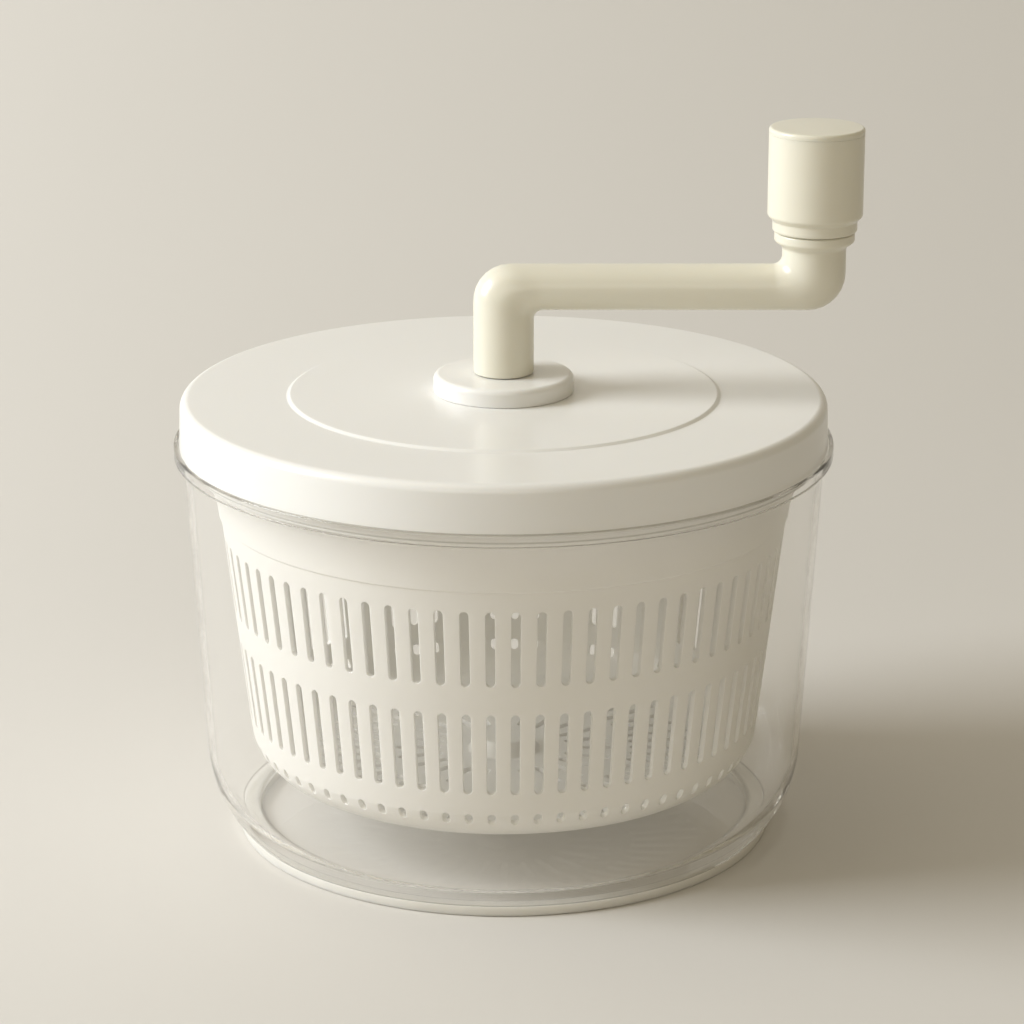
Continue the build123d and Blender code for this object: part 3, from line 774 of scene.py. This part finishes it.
@dataclass
class Bowl:
    """The clear bowl with its rubber ring. Sizes are in millimetres."""

    rim_r: float
    rim_top: float
    wall: float = 2.5
    mouth_r: float = 123.6
    knee_r: float = 116.6
    knee_z: float = 32.0
    foot_r: float = 104.8
    foot_z: float = 4.0
    floor_r: float = 96.0
    floor_z: float = 6.4
    under_z: float = 2.2
    ring_inner_r: float = 97.2
    flange_low: float = 150.4
    seat_z: float = 154.0
    bead_r: float = 125.3
    boss_top: float = 17.0
    turn_steps: int = 18

    @classmethod
    def from_frame(cls) -> "Bowl":
        """Takes the rim's size and height from the frame."""
        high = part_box("bowl")[1] / MM
        return cls(rim_r=high.x, rim_top=high.z)

    def outline(self) -> list[Point]:
        """Draws the bowl's section, from the middle of its underside round to the top of its boss."""
        lean = (self.knee_r - self.mouth_r, self.knee_z - self.flange_low)
        knee_in = self.knee_r - self.wall
        outer_turn = arc_to((self.knee_r, self.knee_z), lean, (self.foot_r, self.foot_z), self.turn_steps)
        inner_turn = arc_to((knee_in, self.knee_z), lean, (self.floor_r, self.floor_z), self.turn_steps)
        points = rounded([
            Corner(0, 8.0),
            Corner(4.0, 8.0, 1.0),
            Corner(6.0, self.under_z, 1.5),
            Corner(self.ring_inner_r, self.under_z),
            Corner(self.ring_inner_r, self.foot_z),
            Corner(self.foot_r - 0.8, self.foot_z),
        ])
        points += reversed(outer_turn)
        points += rounded([
            Corner(self.knee_r, self.knee_z),
            Corner(self.mouth_r, self.flange_low, 0.8),
            Corner(self.rim_r, self.flange_low, 1.5),
            Corner(self.rim_r, self.rim_top, 0.8),
            Corner(self.bead_r, self.rim_top, 0.6),
            Corner(self.bead_r, self.seat_z, 0.3),
            Corner(self.mouth_r - self.wall, self.seat_z, 0.5),
            Corner(knee_in, self.knee_z),
        ])
        points += inner_turn
        points += rounded([
            Corner(self.floor_r - 0.8, self.floor_z),
            Corner(10.0, self.floor_z, 4.0),
            Corner(6.5, self.boss_top, 0.8),
            Corner(0, self.boss_top),
        ])
        return points

    def build(self, finishes: Finishes) -> None:
        """Models and hands over the bowl and its ring."""
        bowl = turned("bowl_clear", self.outline(), edges=2 * ROUND)
        hand_over(bowl, finishes.clear, "bowl", "bowl", 30)
        ring = turned("base_ring", rounded([
            Corner(self.ring_inner_r, 0, 0.9),
            Corner(self.foot_r, 0, 0.9),
            Corner(self.foot_r, self.foot_z, 0.2),
            Corner(self.ring_inner_r, self.foot_z, 0.2),
        ], closed=True))
        hand_over(ring, finishes.silicone, "anti_slip_ring", "bowl")


# ---------------------------------------------------------------- basket


@dataclass(frozen=True)
class Slot:
    """One slot in a column of the basket's wall: its middle's height, its length and its width."""

    middle: float
    length: float
    width: float

    def rows(self) -> list[tuple[float, float, float]]:
        """Lists the rows that outline it.

        Returns:
            For each row the sides' height, their distance from the middle line, and the middle's height.
        """
        half = self.width / 2
        straight = self.length / 2 - half
        upper = [
            (straight, half, straight),
            (straight + half * sin(pi / 6), half * cos(pi / 6), straight + half * sin(pi / 6)),
            (straight + half * sin(pi / 3), half * cos(pi / 3), straight + half),
        ]
        lower = [(-side, across, -centre) for side, across, centre in reversed(upper)]
        return [(self.middle + side, across, self.middle + centre) for side, across, centre in lower + upper]


@dataclass
class Basket:
    """The slotted basket. Sizes are in millimetres."""

    lip_r: float
    lip_top: float
    wall: float = 2.0
    columns: int = 72
    floor_z: float = 25.2
    floor_r: float = 84.0
    knee_r: float = 99.5
    knee_z: float = 41.0
    band_r: float = 109.6
    band_z: float = 128.0
    crease: float = 0.8
    flare_r: float = 116.6
    flare_z: float = 146.5
    hub_r: float = 10.0
    hub_low: float = 19.8
    socket_r: float = 6.5
    socket_top: float = 29.9
    edge_bevel: float = 0.35
    turn_steps: int = 12
    fine_steps: int = 64
    flare_steps: int = 8
    drive_ribs: int = 6
    rib_size: tuple[float, float, float] = (3.4, 3.4, 11.0)
    rib_place: tuple[float, float, float] = (107.5, 0, 136.5)
    floor_slot_width: float = 3.0
    floor_slots: tuple[tuple[float, float, int], ...] = ((34, 18, 24), (64, 28, 48))
    slots: tuple[Slot, ...] = (Slot(36.0, 4.8, 3.0), Slot(63.0, 32.7, 3.4), Slot(105.6, 30.1, 3.5))

    @classmethod
    def from_frame(cls) -> "Basket":
        """Takes the lip's size and height from the frame."""
        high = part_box("basket")[1] / MM
        return cls(lip_r=high.x, lip_top=high.z)

    def wall_radius(self, height: float) -> float:
        """The outside radius of the wall and of the turn below it at a height."""
        if height >= self.knee_z:
            share = (height - self.knee_z) / (self.band_z - self.knee_z)
            return self.knee_r + (self.band_r - self.knee_r) * share
        turn = self.lower_turn(self.fine_steps)
        for low, high in zip(turn, turn[1:]):
            if low[1] <= height <= high[1]:
                share = (height - low[1]) / (high[1] - low[1])
                return low[0] + (high[0] - low[0]) * share
        return self.knee_r

    def lower_turn(self, steps: int) -> list[Point]:
        """The turn from the floor up to the wall."""
        slope = (self.knee_r - self.band_r, self.knee_z - self.band_z)
        down = arc_to((self.knee_r, self.knee_z), slope, (self.floor_r, self.floor_z), steps)
        return [*reversed(down), (self.knee_r, self.knee_z)]

    def wall_rows(self) -> list[Point]:
        """The heights at which one column of the wall has vertices, from the floor to the lip."""
        first_slot = self.slots[0].rows()[0][0]
        rows = [point for point in self.lower_turn(self.turn_steps) if point[1] < first_slot - 0.6]
        for slot in self.slots:
            rows += [(self.wall_radius(side), side) for side, _, _ in slot.rows()]
        step_r = self.band_r + self.crease
        step_z = self.band_z + self.crease
        rows += [(self.band_r, self.band_z), (step_r, step_z)]
        rows += arc_to((step_r, step_z), (0.08, 1), (self.flare_r, self.flare_z), self.flare_steps)
        rows += [(self.lip_r, self.flare_z + 0.4), (self.lip_r, self.lip_top)]
        return rows

    def column(self) -> Object:
        """Models one column of the wall as a bent strip, with its slots open."""
        rows = self.wall_rows()
        edge = 2 * pi / self.columns / 4
        clear_selection()
        bpy.ops.mesh.primitive_circle_add(
            vertices=self.columns * 4, radius=rows[0][0] * MM, location=metres(0, 0, rows[0][1])
        )
        strip = bpy.context.object
        settle(strip)
        with editing(strip):
            pick(strip, lambda place: abs(atan2(place.x, place.y)) > 2.5 * edge)
            bpy.ops.mesh.delete(type="VERT")
            bpy.ops.mesh.select_all(action="SELECT")
            for start, end in zip(rows, rows[1:]):
                extrude_ring(start, end)
            for slot in self.slots:
                self.open_slot(strip, slot, edge)
        return strip

    def open_slot(self, strip: Object, slot: Slot, edge: float) -> None:
        """Shapes the strip's vertices round one slot and takes its faces out.

        Args:
            strip: The strip, in edit mode.
            slot: The slot.
            edge: The angle between two of the strip's vertices.
        """
        rows = slot.rows()
        for side, across, centre in rows:
            radius = self.wall_radius(side)
            step = radius * edge
            pick(strip, lambda place: abs(place.z - side) < LEVEL and 0.4 * step < abs(place.x) < 1.5 * step)
            bpy.ops.transform.resize(value=(across / (radius * sin(edge)), 1, 1), center_override=(0, 0, 0))
            if abs(centre - side) > TINY:
                pick(strip, lambda place: abs(place.z - side) < LEVEL and abs(place.x) < 0.1 * step)
                bpy.ops.transform.translate(value=metres(0, 0, centre - side))
        low, high = rows[0][0], rows[-1][0]
        bpy.ops.mesh.select_mode(type="FACE")
        pick_faces(strip, lambda middle, _: low < middle.z < high and abs(middle.x) < 0.9 * slot.width / 2)
        bpy.ops.mesh.delete(type="FACE")
        bpy.ops.mesh.select_mode(type="VERT")

    def wall_shell(self) -> Object:
        """Models the whole wall with its thickness."""
        wall = self.column()
        wall.name = "basket_slotted"
        repeat_round(wall, self.columns)
        with editing(wall):
            tidy_surface()
        turn_about_axis(wall, 180 / self.columns)
        add_modifier(wall, "SOLIDIFY", thickness=self.wall * MM, offset=-1, use_even_offset=True)
        with editing(wall, "FACE"):
            pick_faces(wall, lambda middle, normal: hypot(middle.x, middle.y) < self.floor_r + 0.05
                       and abs(normal.z) < STEEP)
            bpy.ops.mesh.delete(type="FACE")
        return wall

    def floor_plate(self) -> Object:
        """Models the floor with its slots and the hub in its middle."""
        top = self.floor_z + self.wall
        start, after = (Vector(point) for point in self.lower_turn(self.turn_steps)[:2])
        along = (after - start).normalized()
        seam = start + Vector((-along.y, along.x)) * self.wall
        plate = turned("basket_floor", rounded([
            Corner(0, self.socket_top),
            Corner(self.socket_r, self.socket_top),
            Corner(self.socket_r, self.hub_low, 0.6),
            Corner(self.hub_r, self.hub_low, 0.8),
            Corner(self.hub_r + 1.2, self.floor_z, 0.8),
            Corner(self.floor_r, self.floor_z),
            Corner(seam.x, seam.y),
            Corner(self.hub_r + 4, top, 1.5),
            Corner(self.hub_r - 0.5, self.socket_top + 2.6, 1.5),
            Corner(0, self.socket_top + 3),
        ]), edges=self.columns * 4)
        cutters = join([self.floor_cutter(*ring) for ring in self.floor_slots])
        add_modifier(plate, "BOOLEAN", object=cutters, operation="DIFFERENCE", solver="EXACT")
        bpy.data.objects.remove(cutters)
        with editing(plate, "FACE"):
            pick_faces(plate, lambda middle, normal: hypot(middle.x, middle.y) > seam.x
                       and abs(normal.z) < STEEP)
            bpy.ops.mesh.delete(type="FACE")
        return plate

    def floor_cutter(self, middle: float, length: float, count: int) -> Object:
        """Models a ring of slot-shaped cutters for the floor.

        Args:
            middle: Distance of a slot's middle from the axis.
            length: A slot's length.
            count: How many there are.

        Returns:
            The cutters as one object.
        """
        half = self.floor_slot_width / 2
        sides = 16
        clear_selection()
        bpy.ops.mesh.primitive_cylinder_add(
            vertices=sides,
            radius=half * MM,
            depth=8 * MM,
            location=metres(middle - length / 2 + half, 0, self.floor_z),
            rotation=(0, 0, pi / sides),
        )
        cutter = bpy.context.object
        settle(cutter)
        with editing(cutter):
            pick(cutter, lambda place: place.x > middle - length / 2 + half)
            bpy.ops.transform.translate(value=metres(length - 2 * half, 0, 0))
        repeat_round(cutter, count)
        return cutter

    def build(self, finishes: Finishes) -> None:
        """Models and hands over the basket."""
        shell = join([self.wall_shell(), self.floor_plate()])
        with editing(shell):
            tidy_surface()
        width, sharp = self.edge_bevel * MM, radians(42)
        add_modifier(shell, "BEVEL", width=width, segments=2, limit_method="ANGLE", angle_limit=sharp)
        rib = block("drive_rib", self.rib_size, self.rib_place, 0.5)
        repeat_round(rib, self.drive_ribs)
        basket = join([shell, rib])
        hand_over(basket, finishes.basket, "basket", "basket", 35)


# ---------------------------------------------------------------- lid


@dataclass
class Lid:
    """The lid's shell and the collar round the crank. Sizes are in millimetres."""

    skirt_r: float
    disc_top: float
    collar_r: float
    collar_top: float
    plate: float = 2.4
    disc_step: float = 0.9
    disc_r: float = 82.0
    shoulder_r: float = 124.2
    edge_round: float = 3.6
    skirt_wall: float = 2.2
    seat_z: float = 154.0
    plug_r: float = 120.2
    plug_wall: float = 1.8
    plug_low: float = 149.2
    housing_r: float = 40.0
    housing_wall: float = 2.4
    housing_low: float = 156.0
    shaft_hole: float = 10.0
    boss_circle: float = 47.0
    boss_r: float = 4.0
    pilot_r: float = 1.45
    bosses_round: int = 4
    ribs_round: int = 12
    rib_width: float = 1.6
    rib_height: float = 5.9
    overlap: float = 0.5

    @classmethod
    def from_frame(cls) -> "Lid":
        """Takes the lid's and the collar's size and height from the frame."""
        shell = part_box("lid_shell")[1] / MM
        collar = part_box("hub_collar")[1] / MM
        return cls(skirt_r=shell.x, disc_top=shell.z, collar_r=collar.x, collar_top=collar.z)

    def shell(self) -> Object:
        """Models the moulded shell: top plate, skirt, plug ring and gear housing."""
        top = self.disc_top - self.disc_step
        under = top - self.plate
        plug_in = self.plug_r - self.plug_wall
        housing_out = self.housing_r + self.housing_wall
        return turned("lid_top", rounded([
            Corner(self.shaft_hole, under),
            Corner(self.housing_r, under),
            Corner(self.housing_r, self.housing_low, 0.3),
            Corner(housing_out, self.housing_low, 0.3),
            Corner(housing_out, under, 0.8),
            Corner(plug_in, under, 0.8),
            Corner(plug_in, self.plug_low, 0.6),
            Corner(self.plug_r, self.plug_low, 0.6),
            Corner(self.plug_r, under - 1.5, 0.4),
            Corner(self.shoulder_r - self.skirt_wall - 1, under - 1.5, 0.4),
            Corner(self.shoulder_r - self.skirt_wall, under - 2.5, 0.6),
            Corner(self.skirt_r - self.skirt_wall, self.seat_z, 0.5),
            Corner(self.skirt_r, self.seat_z, 0.8),
            Corner(self.shoulder_r, top, self.edge_round),
            Corner(self.disc_r + 1.4, top, 0.9),
            Corner(self.disc_r, self.disc_top, 1.2),
            Corner(self.shaft_hole, self.disc_top),
        ], closed=True, step_degrees=10))

    def ribs(self) -> Object:
        """Models the stiffening ribs under the top plate."""
        under = self.disc_top - self.disc_step - self.plate
        inner = self.housing_r + self.housing_wall
        outer = self.plug_r - self.plug_wall
        size = (outer - inner + 2 * self.overlap, self.rib_width, self.rib_height)
        place = ((inner + outer) / 2, 0, under + self.overlap - self.rib_height / 2)
        rib = block("lid_rib", size, place, 0.3)
        repeat_round(rib, self.ribs_round)
        return rib

    def bosses(self) -> Object:
        """Models the bosses that take the cover's screws."""
        under = self.disc_top - self.disc_step - self.plate
        boss = turned("lid_boss", rounded([
            Corner(self.pilot_r, self.housing_low, 0.2),
            Corner(self.boss_r - 0.4, self.housing_low, 0.5),
            Corner(self.boss_r, under + self.overlap),
            Corner(self.pilot_r, under + self.overlap),
        ], closed=True), edges=32, axis=(self.boss_circle, 0))
        repeat_round(boss, self.bosses_round)
        turn_about_axis(boss, 180 / self.bosses_round)
        return boss

    def collar(self) -> Object:
        """Models the collar that stands round the crank's foot."""
        return turned("lid_collar", rounded([
            Corner(self.shaft_hole, self.disc_top),
            Corner(self.collar_r, self.disc_top, 0.6),
            Corner(self.collar_r, self.collar_top, 2.3),
            Corner(self.shaft_hole, self.collar_top, 0.4),
        ], closed=True, step_degrees=12), edges=192)

    def build(self, finishes: Finishes) -> None:
        """Models and hands over the lid's shell and collar."""
        shell = join([self.shell(), self.ribs(), self.bosses()])
        hand_over(shell, finishes.lid, "lid_shell", "lid", 35)
        hand_over(self.collar(), finishes.lid, "hub_collar", "lid")


# ---------------------------------------------------------------- crank


@dataclass(frozen=True)
class Section:
    """One oval cross-section of the crank, in the plane through the arm and the axis.

    Args:
        x: Its middle along the arm.
        z: Its middle's height.
        tilt: How far it is turned from level, in radians, towards upright.
        half: Half its size in that plane.
        width: Half its width across that plane.
    """

    x: float
    z: float
    tilt: float
    half: float
    width: float


@dataclass
class Crank:
    """The crank: a round post, two tight elbows, an oval arm and a flanged neck. Sizes are in millimetres."""

    arm_length: float
    foot_z: float
    neck_top: float
    post_r: float = 11.6
    neck_r: float = 12.15
    arm_z: float = 214.7
    arm_half_h: float = 8.85
    arm_half_w: float = 9.6
    inner_bend: float = 3.5
    outer_bend: float = 14.2
    flange_r: float = 15.3
    flange_h: float = 4.2
    socket_r: float = 7.9
    socket_depth: float = 8.6
    spindle_r: float = 3.0
    spindle_depth: float = 20.0
    around: int = 72
    elbow_steps: int = 14

    @classmethod
    def from_frame(cls) -> "Crank":
        """Takes the crank's length and heights from the frame."""
        low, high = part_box("crank_arm")
        knob = next(joint for joint in frame["joints"] if joint["name"] == "knob_spin")
        return cls(arm_length=knob["pos_m"][0] / MM, foot_z=low.z / MM, neck_top=high.z / MM)

    def elbow(self, centre: Point, stem_r: float, outward: int, upward: int) -> list[Section]:
        """Lists the sections of an elbow, from its upright stem to the arm.

        Args:
            centre: The middle of its inner bend.
            stem_r: The stem's radius.
            outward: 1 if the arm leaves along +X, or -1.
            upward: 1 if the arm lies above the inner bend, or -1.

        Returns:
            The sections.
        """
        sections = []
        stem_side = self.inner_bend + 2 * stem_r
        arm_side = self.inner_bend + 2 * self.arm_half_h
        for step in range(self.elbow_steps + 1):
            angle = pi / 2 * step / self.elbow_steps
            reach = self.outer_reach(angle, stem_side, arm_side)
            half = (reach - self.inner_bend) / 2
            middle = (reach + self.inner_bend) / 2
            share = (1 - cos(2 * angle)) / 2
            width = stem_r + (self.arm_half_w - stem_r) * share
            x = centre[0] - outward * cos(angle) * middle
            z = centre[1] + upward * sin(angle) * middle
            sections.append(Section(x, z, outward * upward * angle, half, width))
        return sections

    def outer_reach(self, angle: float, stem_side: float, arm_side: float) -> float:
        """Distance from an elbow's inner centre to its outside.

        Args:
            angle: The direction, from 0 at the stem to a right angle at the arm.
            stem_side: Distance to the stem's outside.
            arm_side: Distance to the arm's outside.

        Returns:
            The distance.
        """
        across, along = cos(angle), sin(angle)
        corner = min(stem_side / max(across, TINY), arm_side / max(along, TINY))
        arc_x, arc_z = stem_side - self.outer_bend, arm_side - self.outer_bend
        if corner * across <= arc_x or corner * along <= arc_z:
            return corner
        on_ray = across * arc_x + along * arc_z
        return on_ray + sqrt(on_ray**2 - arc_x**2 - arc_z**2 + self.outer_bend**2)

    def sections(self) -> list[Section]:
        """Lists every section from the crank's foot to the top of its neck."""
        low_centre = (self.post_r + self.inner_bend, self.arm_z - self.arm_half_h - self.inner_bend)
        high_centre = (
            self.arm_length - self.neck_r - self.inner_bend,
            self.arm_z + self.arm_half_h + self.inner_bend,
        )
        foot = [
            Section(0, z, 0, r, r)
            for r, z in rounded([
                Corner(self.socket_r, self.foot_z + self.socket_depth),
                Corner(self.socket_r, self.foot_z, 0.3),
                Corner(self.post_r, self.foot_z, 0.6),
                Corner(self.post_r, self.foot_z + 5),
            ])
        ]
        low = self.elbow(low_centre, self.post_r, 1, 1)
        high = list(reversed(self.elbow(high_centre, self.neck_r, -1, -1)))
        neck = [
            Section(self.arm_length, z, 0, r, r)
            for r, z in rounded([
                Corner(self.neck_r, high_centre[1] + 0.5),
                Corner(self.neck_r, self.neck_top - self.flange_h - 1.6, 1.6),
                Corner(self.flange_r, self.neck_top - self.flange_h + 0.9, 1.2),
                Corner(self.flange_r, self.neck_top, 0.8),
                Corner(self.spindle_r, self.neck_top, 0.2),
                Corner(self.spindle_r, self.neck_top - self.spindle_depth),
            ])
        ]
        return foot + low + high + neck

    def body(self) -> Object:
        """Models the crank by bridging one oval to the next, from its foot's socket to its neck's bore."""
        clear_selection()
        bpy.ops.mesh.primitive_circle_add(vertices=self.around)
        crank = bpy.context.object
        crank.name = "crank_arm_bent"
        with editing(crank, "EDGE"):
            bpy.ops.mesh.select_all(action="SELECT")
            bpy.ops.mesh.delete(type="VERT")
            for index, section in enumerate(self.sections()):
                self.add_oval(section)
                if index:
                    self.pick_ovals(crank, index - 1, index)
                    bpy.ops.mesh.bridge_edge_loops()
            bpy.ops.mesh.select_all(action="SELECT")
            bpy.ops.mesh.fill_holes(sides=0)
            bpy.ops.mesh.normals_make_consistent(inside=False)
        return crank

    def add_oval(self, section: Section) -> None:
        """Adds the oval of one section to the open piece."""
        bpy.ops.mesh.primitive_circle_add(
            vertices=self.around,
            radius=section.half * MM,
            location=metres(section.x, 0, section.z),
            rotation=(0, section.tilt, 0),
        )
        bpy.ops.transform.resize(value=(1, section.width / section.half, 1), center_override=(0, 0, 0))

    def pick_ovals(self, crank: Object, first: int, second: int) -> None:
        """Selects two of the open crank's ovals, counted from its foot."""
        shape = bmesh.from_edit_mesh(crank.data)
        shape.verts.index_update()
        wanted = (first, second)
        for edge in shape.edges:
            start, end = (vertex.index // self.around for vertex in edge.verts)
            edge.select_set(start == end and start in wanted)
        bmesh.update_edit_mesh(crank.data)

    def build(self, finishes: Finishes) -> None:
        """Models and hands over the crank."""
        hand_over(self.body(), finishes.crank, "crank_arm", "crank")


# ---------------------------------------------------------------- knob


@dataclass
class Knob:
    """The turning knob: a bored grip with a skirt, and its cap. Sizes are in millimetres."""

    axis_x: float
    low_z: float
    seam_z: float
    top_z: float
    grip_r: float
    skirt_r: float = 16.1
    skirt_h: float = 4.2
    bore_r: float = 3.06
    pocket_r: float = 9.0
    pocket_z: float = 260.0
    spigot_wall: float = 1.6
    spigot_h: float = 4.0
    spigot_gap: float = 0.05
    dome_r: float = 6.0

    @classmethod
    def from_frame(cls) -> "Knob":
        """Takes the knob's place and size from the frame."""
        low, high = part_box("knob_grip")
        axis_x = (low.x + high.x) / 2
        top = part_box("knob_cap")[1]
        return cls(axis_x / MM, low.z / MM, high.z / MM, top.z / MM, (high.x - axis_x) / MM)

    def grip(self) -> Object:
        """Models the grip, with its bore and the pocket under the cap."""
        skirt_top = self.low_z + self.skirt_h
        return turned("knob_body", rounded([
            Corner(self.bore_r, self.low_z, 0.2),
            Corner(self.skirt_r, self.low_z, 1.0),
            Corner(self.skirt_r, skirt_top, 0.8),
            Corner(self.grip_r, skirt_top + 2, 1.6),
            Corner(self.grip_r, self.seam_z, 0.12),
            Corner(self.pocket_r, self.seam_z, 0.3),
            Corner(self.pocket_r, self.pocket_z),
            Corner(self.bore_r, self.pocket_z),
        ], closed=True, step_degrees=12), edges=ROUND_SMALL, axis=(self.axis_x, 0))

    def cap(self) -> Object:
        """Models the cap, slightly domed, with the spigot that holds it in the pocket."""
        spigot_in = self.pocket_r - self.spigot_wall
        spigot_out = self.pocket_r - self.spigot_gap
        spigot_low = self.seam_z - self.spigot_h
        return turned("knob_top", rounded([
            Corner(0, self.seam_z),
            Corner(spigot_in, self.seam_z),
            Corner(spigot_in, spigot_low, 0.3),
            Corner(spigot_out, spigot_low, 0.5),
            Corner(spigot_out, self.seam_z),
            Corner(self.grip_r, self.seam_z, 0.12),
            Corner(self.grip_r, self.top_z - 0.5, 3.4),
            Corner(self.dome_r, self.top_z - 0.02, self.dome_r),
            Corner(0, self.top_z),
        ], step_degrees=10), edges=ROUND_SMALL, axis=(self.axis_x, 0))

    def build(self, finishes: Finishes) -> None:
        """Models and hands over the grip and its cap."""
        hand_over(self.grip(), finishes.crank, "knob_grip", "knob")
        hand_over(self.cap(), finishes.crank, "knob_cap", "knob")


# ---------------------------------------------------------------- mechanism


@dataclass(frozen=True)
class Mechanism:
    """The CAD nodes of the bearings, gears and fasteners, which keep their shape and get a finish."""

    steel: tuple[str, ...] = (
        "pivot_pin", "cover_screws", "planet_pins", "carrier_screw", "knob_spindle", "knob_retainer",
        "drive_washer", "drive_screw",
    )
    bearings: tuple[str, ...] = ("pivot_bush", "shaft_bush", "thrust_washer", "output_bush")
    gears: tuple[str, ...] = (
        "ring_gear", "planet_carrier", "planet_gear_1", "planet_gear_2", "planet_gear_3", "sun_gear",
    )
    plates: tuple[str, ...] = ("gearbox_cover", "drive_disc")

    def build(self, finishes: Finishes) -> None:
        """Dresses every node of the mechanism."""
        groups = (
            (self.steel, finishes.steel),
            (self.bearings, finishes.bearing),
            (self.gears, finishes.gear),
            (self.plates, finishes.inner),
        )
        for names, material in groups:
            for name in names:
                dress(frame["nodes"][name], material)
                LOG.info("%s: CAD node in %s", name, material.name)


# ---------------------------------------------------------------- studio


@dataclass(frozen=True)
class Lamp:
    """A soft rectangular lamp.

    Args:
        name: Its name.
        place: Where it stands, in metres.
        target: What it points at.
        size: Its width and height.
        power: Its power in watts.
        colour: Its colour.
    """

    name: str
    place: tuple[float, float, float]
    target: tuple[float, float, float]
    size: tuple[float, float]
    power: float
    colour: Colour

    def light(self) -> None:
        """Sets the lamp up."""
        data = bpy.data.lights.new(self.name, "AREA")
        data.shape = "RECTANGLE"
        data.size, data.size_y = self.size
        data.energy = self.power
        data.color = self.colour
        lamp = bpy.data.objects.new(self.name, data)
        lamp.location = self.place
        aim = Vector(self.target) - Vector(self.place)
        lamp.rotation_euler = aim.to_track_quat("-Z", "Y").to_euler()
        bpy.context.scene.collection.objects.link(lamp)


@dataclass
class Studio:
    """The paper sweep, the lamps and the camera. Places are in metres."""

    paper: Colour = (0.692, 0.669, 0.633)
    sweep_half: float = 4.0
    sweep_back: float = 1.85
    sweep_radius: float = 1.6
    sky: Colour = (1.0, 0.87, 0.60)
    sky_strength: float = 0.255
    camera_place: tuple[float, float, float] = (0.0032, -1.3164, 0.5343)
    camera_pitch: float = 17.28
    camera_lens: float = 124.7
    lamps: tuple[Lamp, ...] = (
        Lamp("key_lamp", (-2.3, -0.18, 1.4), (0, 0, 0.1), (1.3, 1.3), 75, (0.92, 0.96, 1.0)),
        Lamp("fill_lamp", (-0.2, -2.6, 1.2), (0, -0.1, 0.1), (2.0, 1.2), 10, (1.0, 0.95, 0.87)),
        Lamp("top_lamp", (-1.0, 0.0, 2.3), (0, 0, 0), (2.0, 2.0), 11, (1.0, 0.92, 0.78)),
    )

    def sweep(self) -> None:
        """Models the paper: a floor that curves up into a backdrop."""
        clear_selection()
        bpy.ops.mesh.primitive_plane_add(size=2 * self.sweep_half)
        paper = bpy.context.object
        paper.name = "paper_sweep"
        back = self.sweep_back
        with editing(paper):
            pick(paper, lambda place: place.y > 0)
            bpy.ops.transform.translate(value=(0, back - self.sweep_half, 0))
            bpy.ops.mesh.extrude_region_move(TRANSFORM_OT_translate={"value": (0, 0, self.sweep_half)})
            bpy.ops.mesh.select_all(action="DESELECT")
            pick(paper, lambda place: abs(place.y * MM - back) < TINY and abs(place.z) < TINY)
            bpy.ops.mesh.bevel(offset=self.sweep_radius, segments=32, affect="EDGES")
            bpy.ops.mesh.select_all(action="SELECT")
            bpy.ops.mesh.normals_make_consistent(inside=False)
        choose(paper)
        bpy.ops.object.shade_smooth()
        dress(paper, PaperSweep("pale_paper", self.paper).material())

    def sky_light(self) -> None:
        """Fills the room with even light."""
        world = bpy.data.worlds.new("room")
        world.use_nodes = True
        background = world.node_tree.nodes["Background"]
        background.inputs["Color"].default_value = tint(self.sky, 1.0)
        background.inputs["Strength"].default_value = self.sky_strength
        bpy.context.scene.world = world

    def camera(self) -> None:
        """Places the camera."""
        data = bpy.data.cameras.new("camera")
        data.lens = self.camera_lens
        data.clip_end = 30
        camera = bpy.data.objects.new("camera", data)
        camera.location = self.camera_place
        camera.rotation_euler = (radians(90 - self.camera_pitch), 0, 0)
        bpy.context.scene.collection.objects.link(camera)
        bpy.context.scene.camera = camera

    def build(self) -> None:
        """Sets up the whole studio."""
        self.sweep()
        self.sky_light()
        for lamp in self.lamps:
            lamp.light()
        self.camera()
        bpy.context.scene.view_settings.view_transform = "Standard"
        LOG.info("studio: %d lamps", len(self.lamps))


# ---------------------------------------------------------------- the whole spinner


def main() -> None:
    """Builds the studio and every sub-assembly in order."""
    logging.basicConfig(level=logging.INFO, format="%(name)s: %(message)s", stream=sys.stdout)
    Studio().build()
    finishes = Finishes()
    for assembly in (
        Bowl.from_frame(),
        Basket.from_frame(),
        Lid.from_frame(),
        Crank.from_frame(),
        Knob.from_frame(),
        Mechanism(),
    ):
        assembly.build(finishes)


if __name__ == "__main__":
    main()
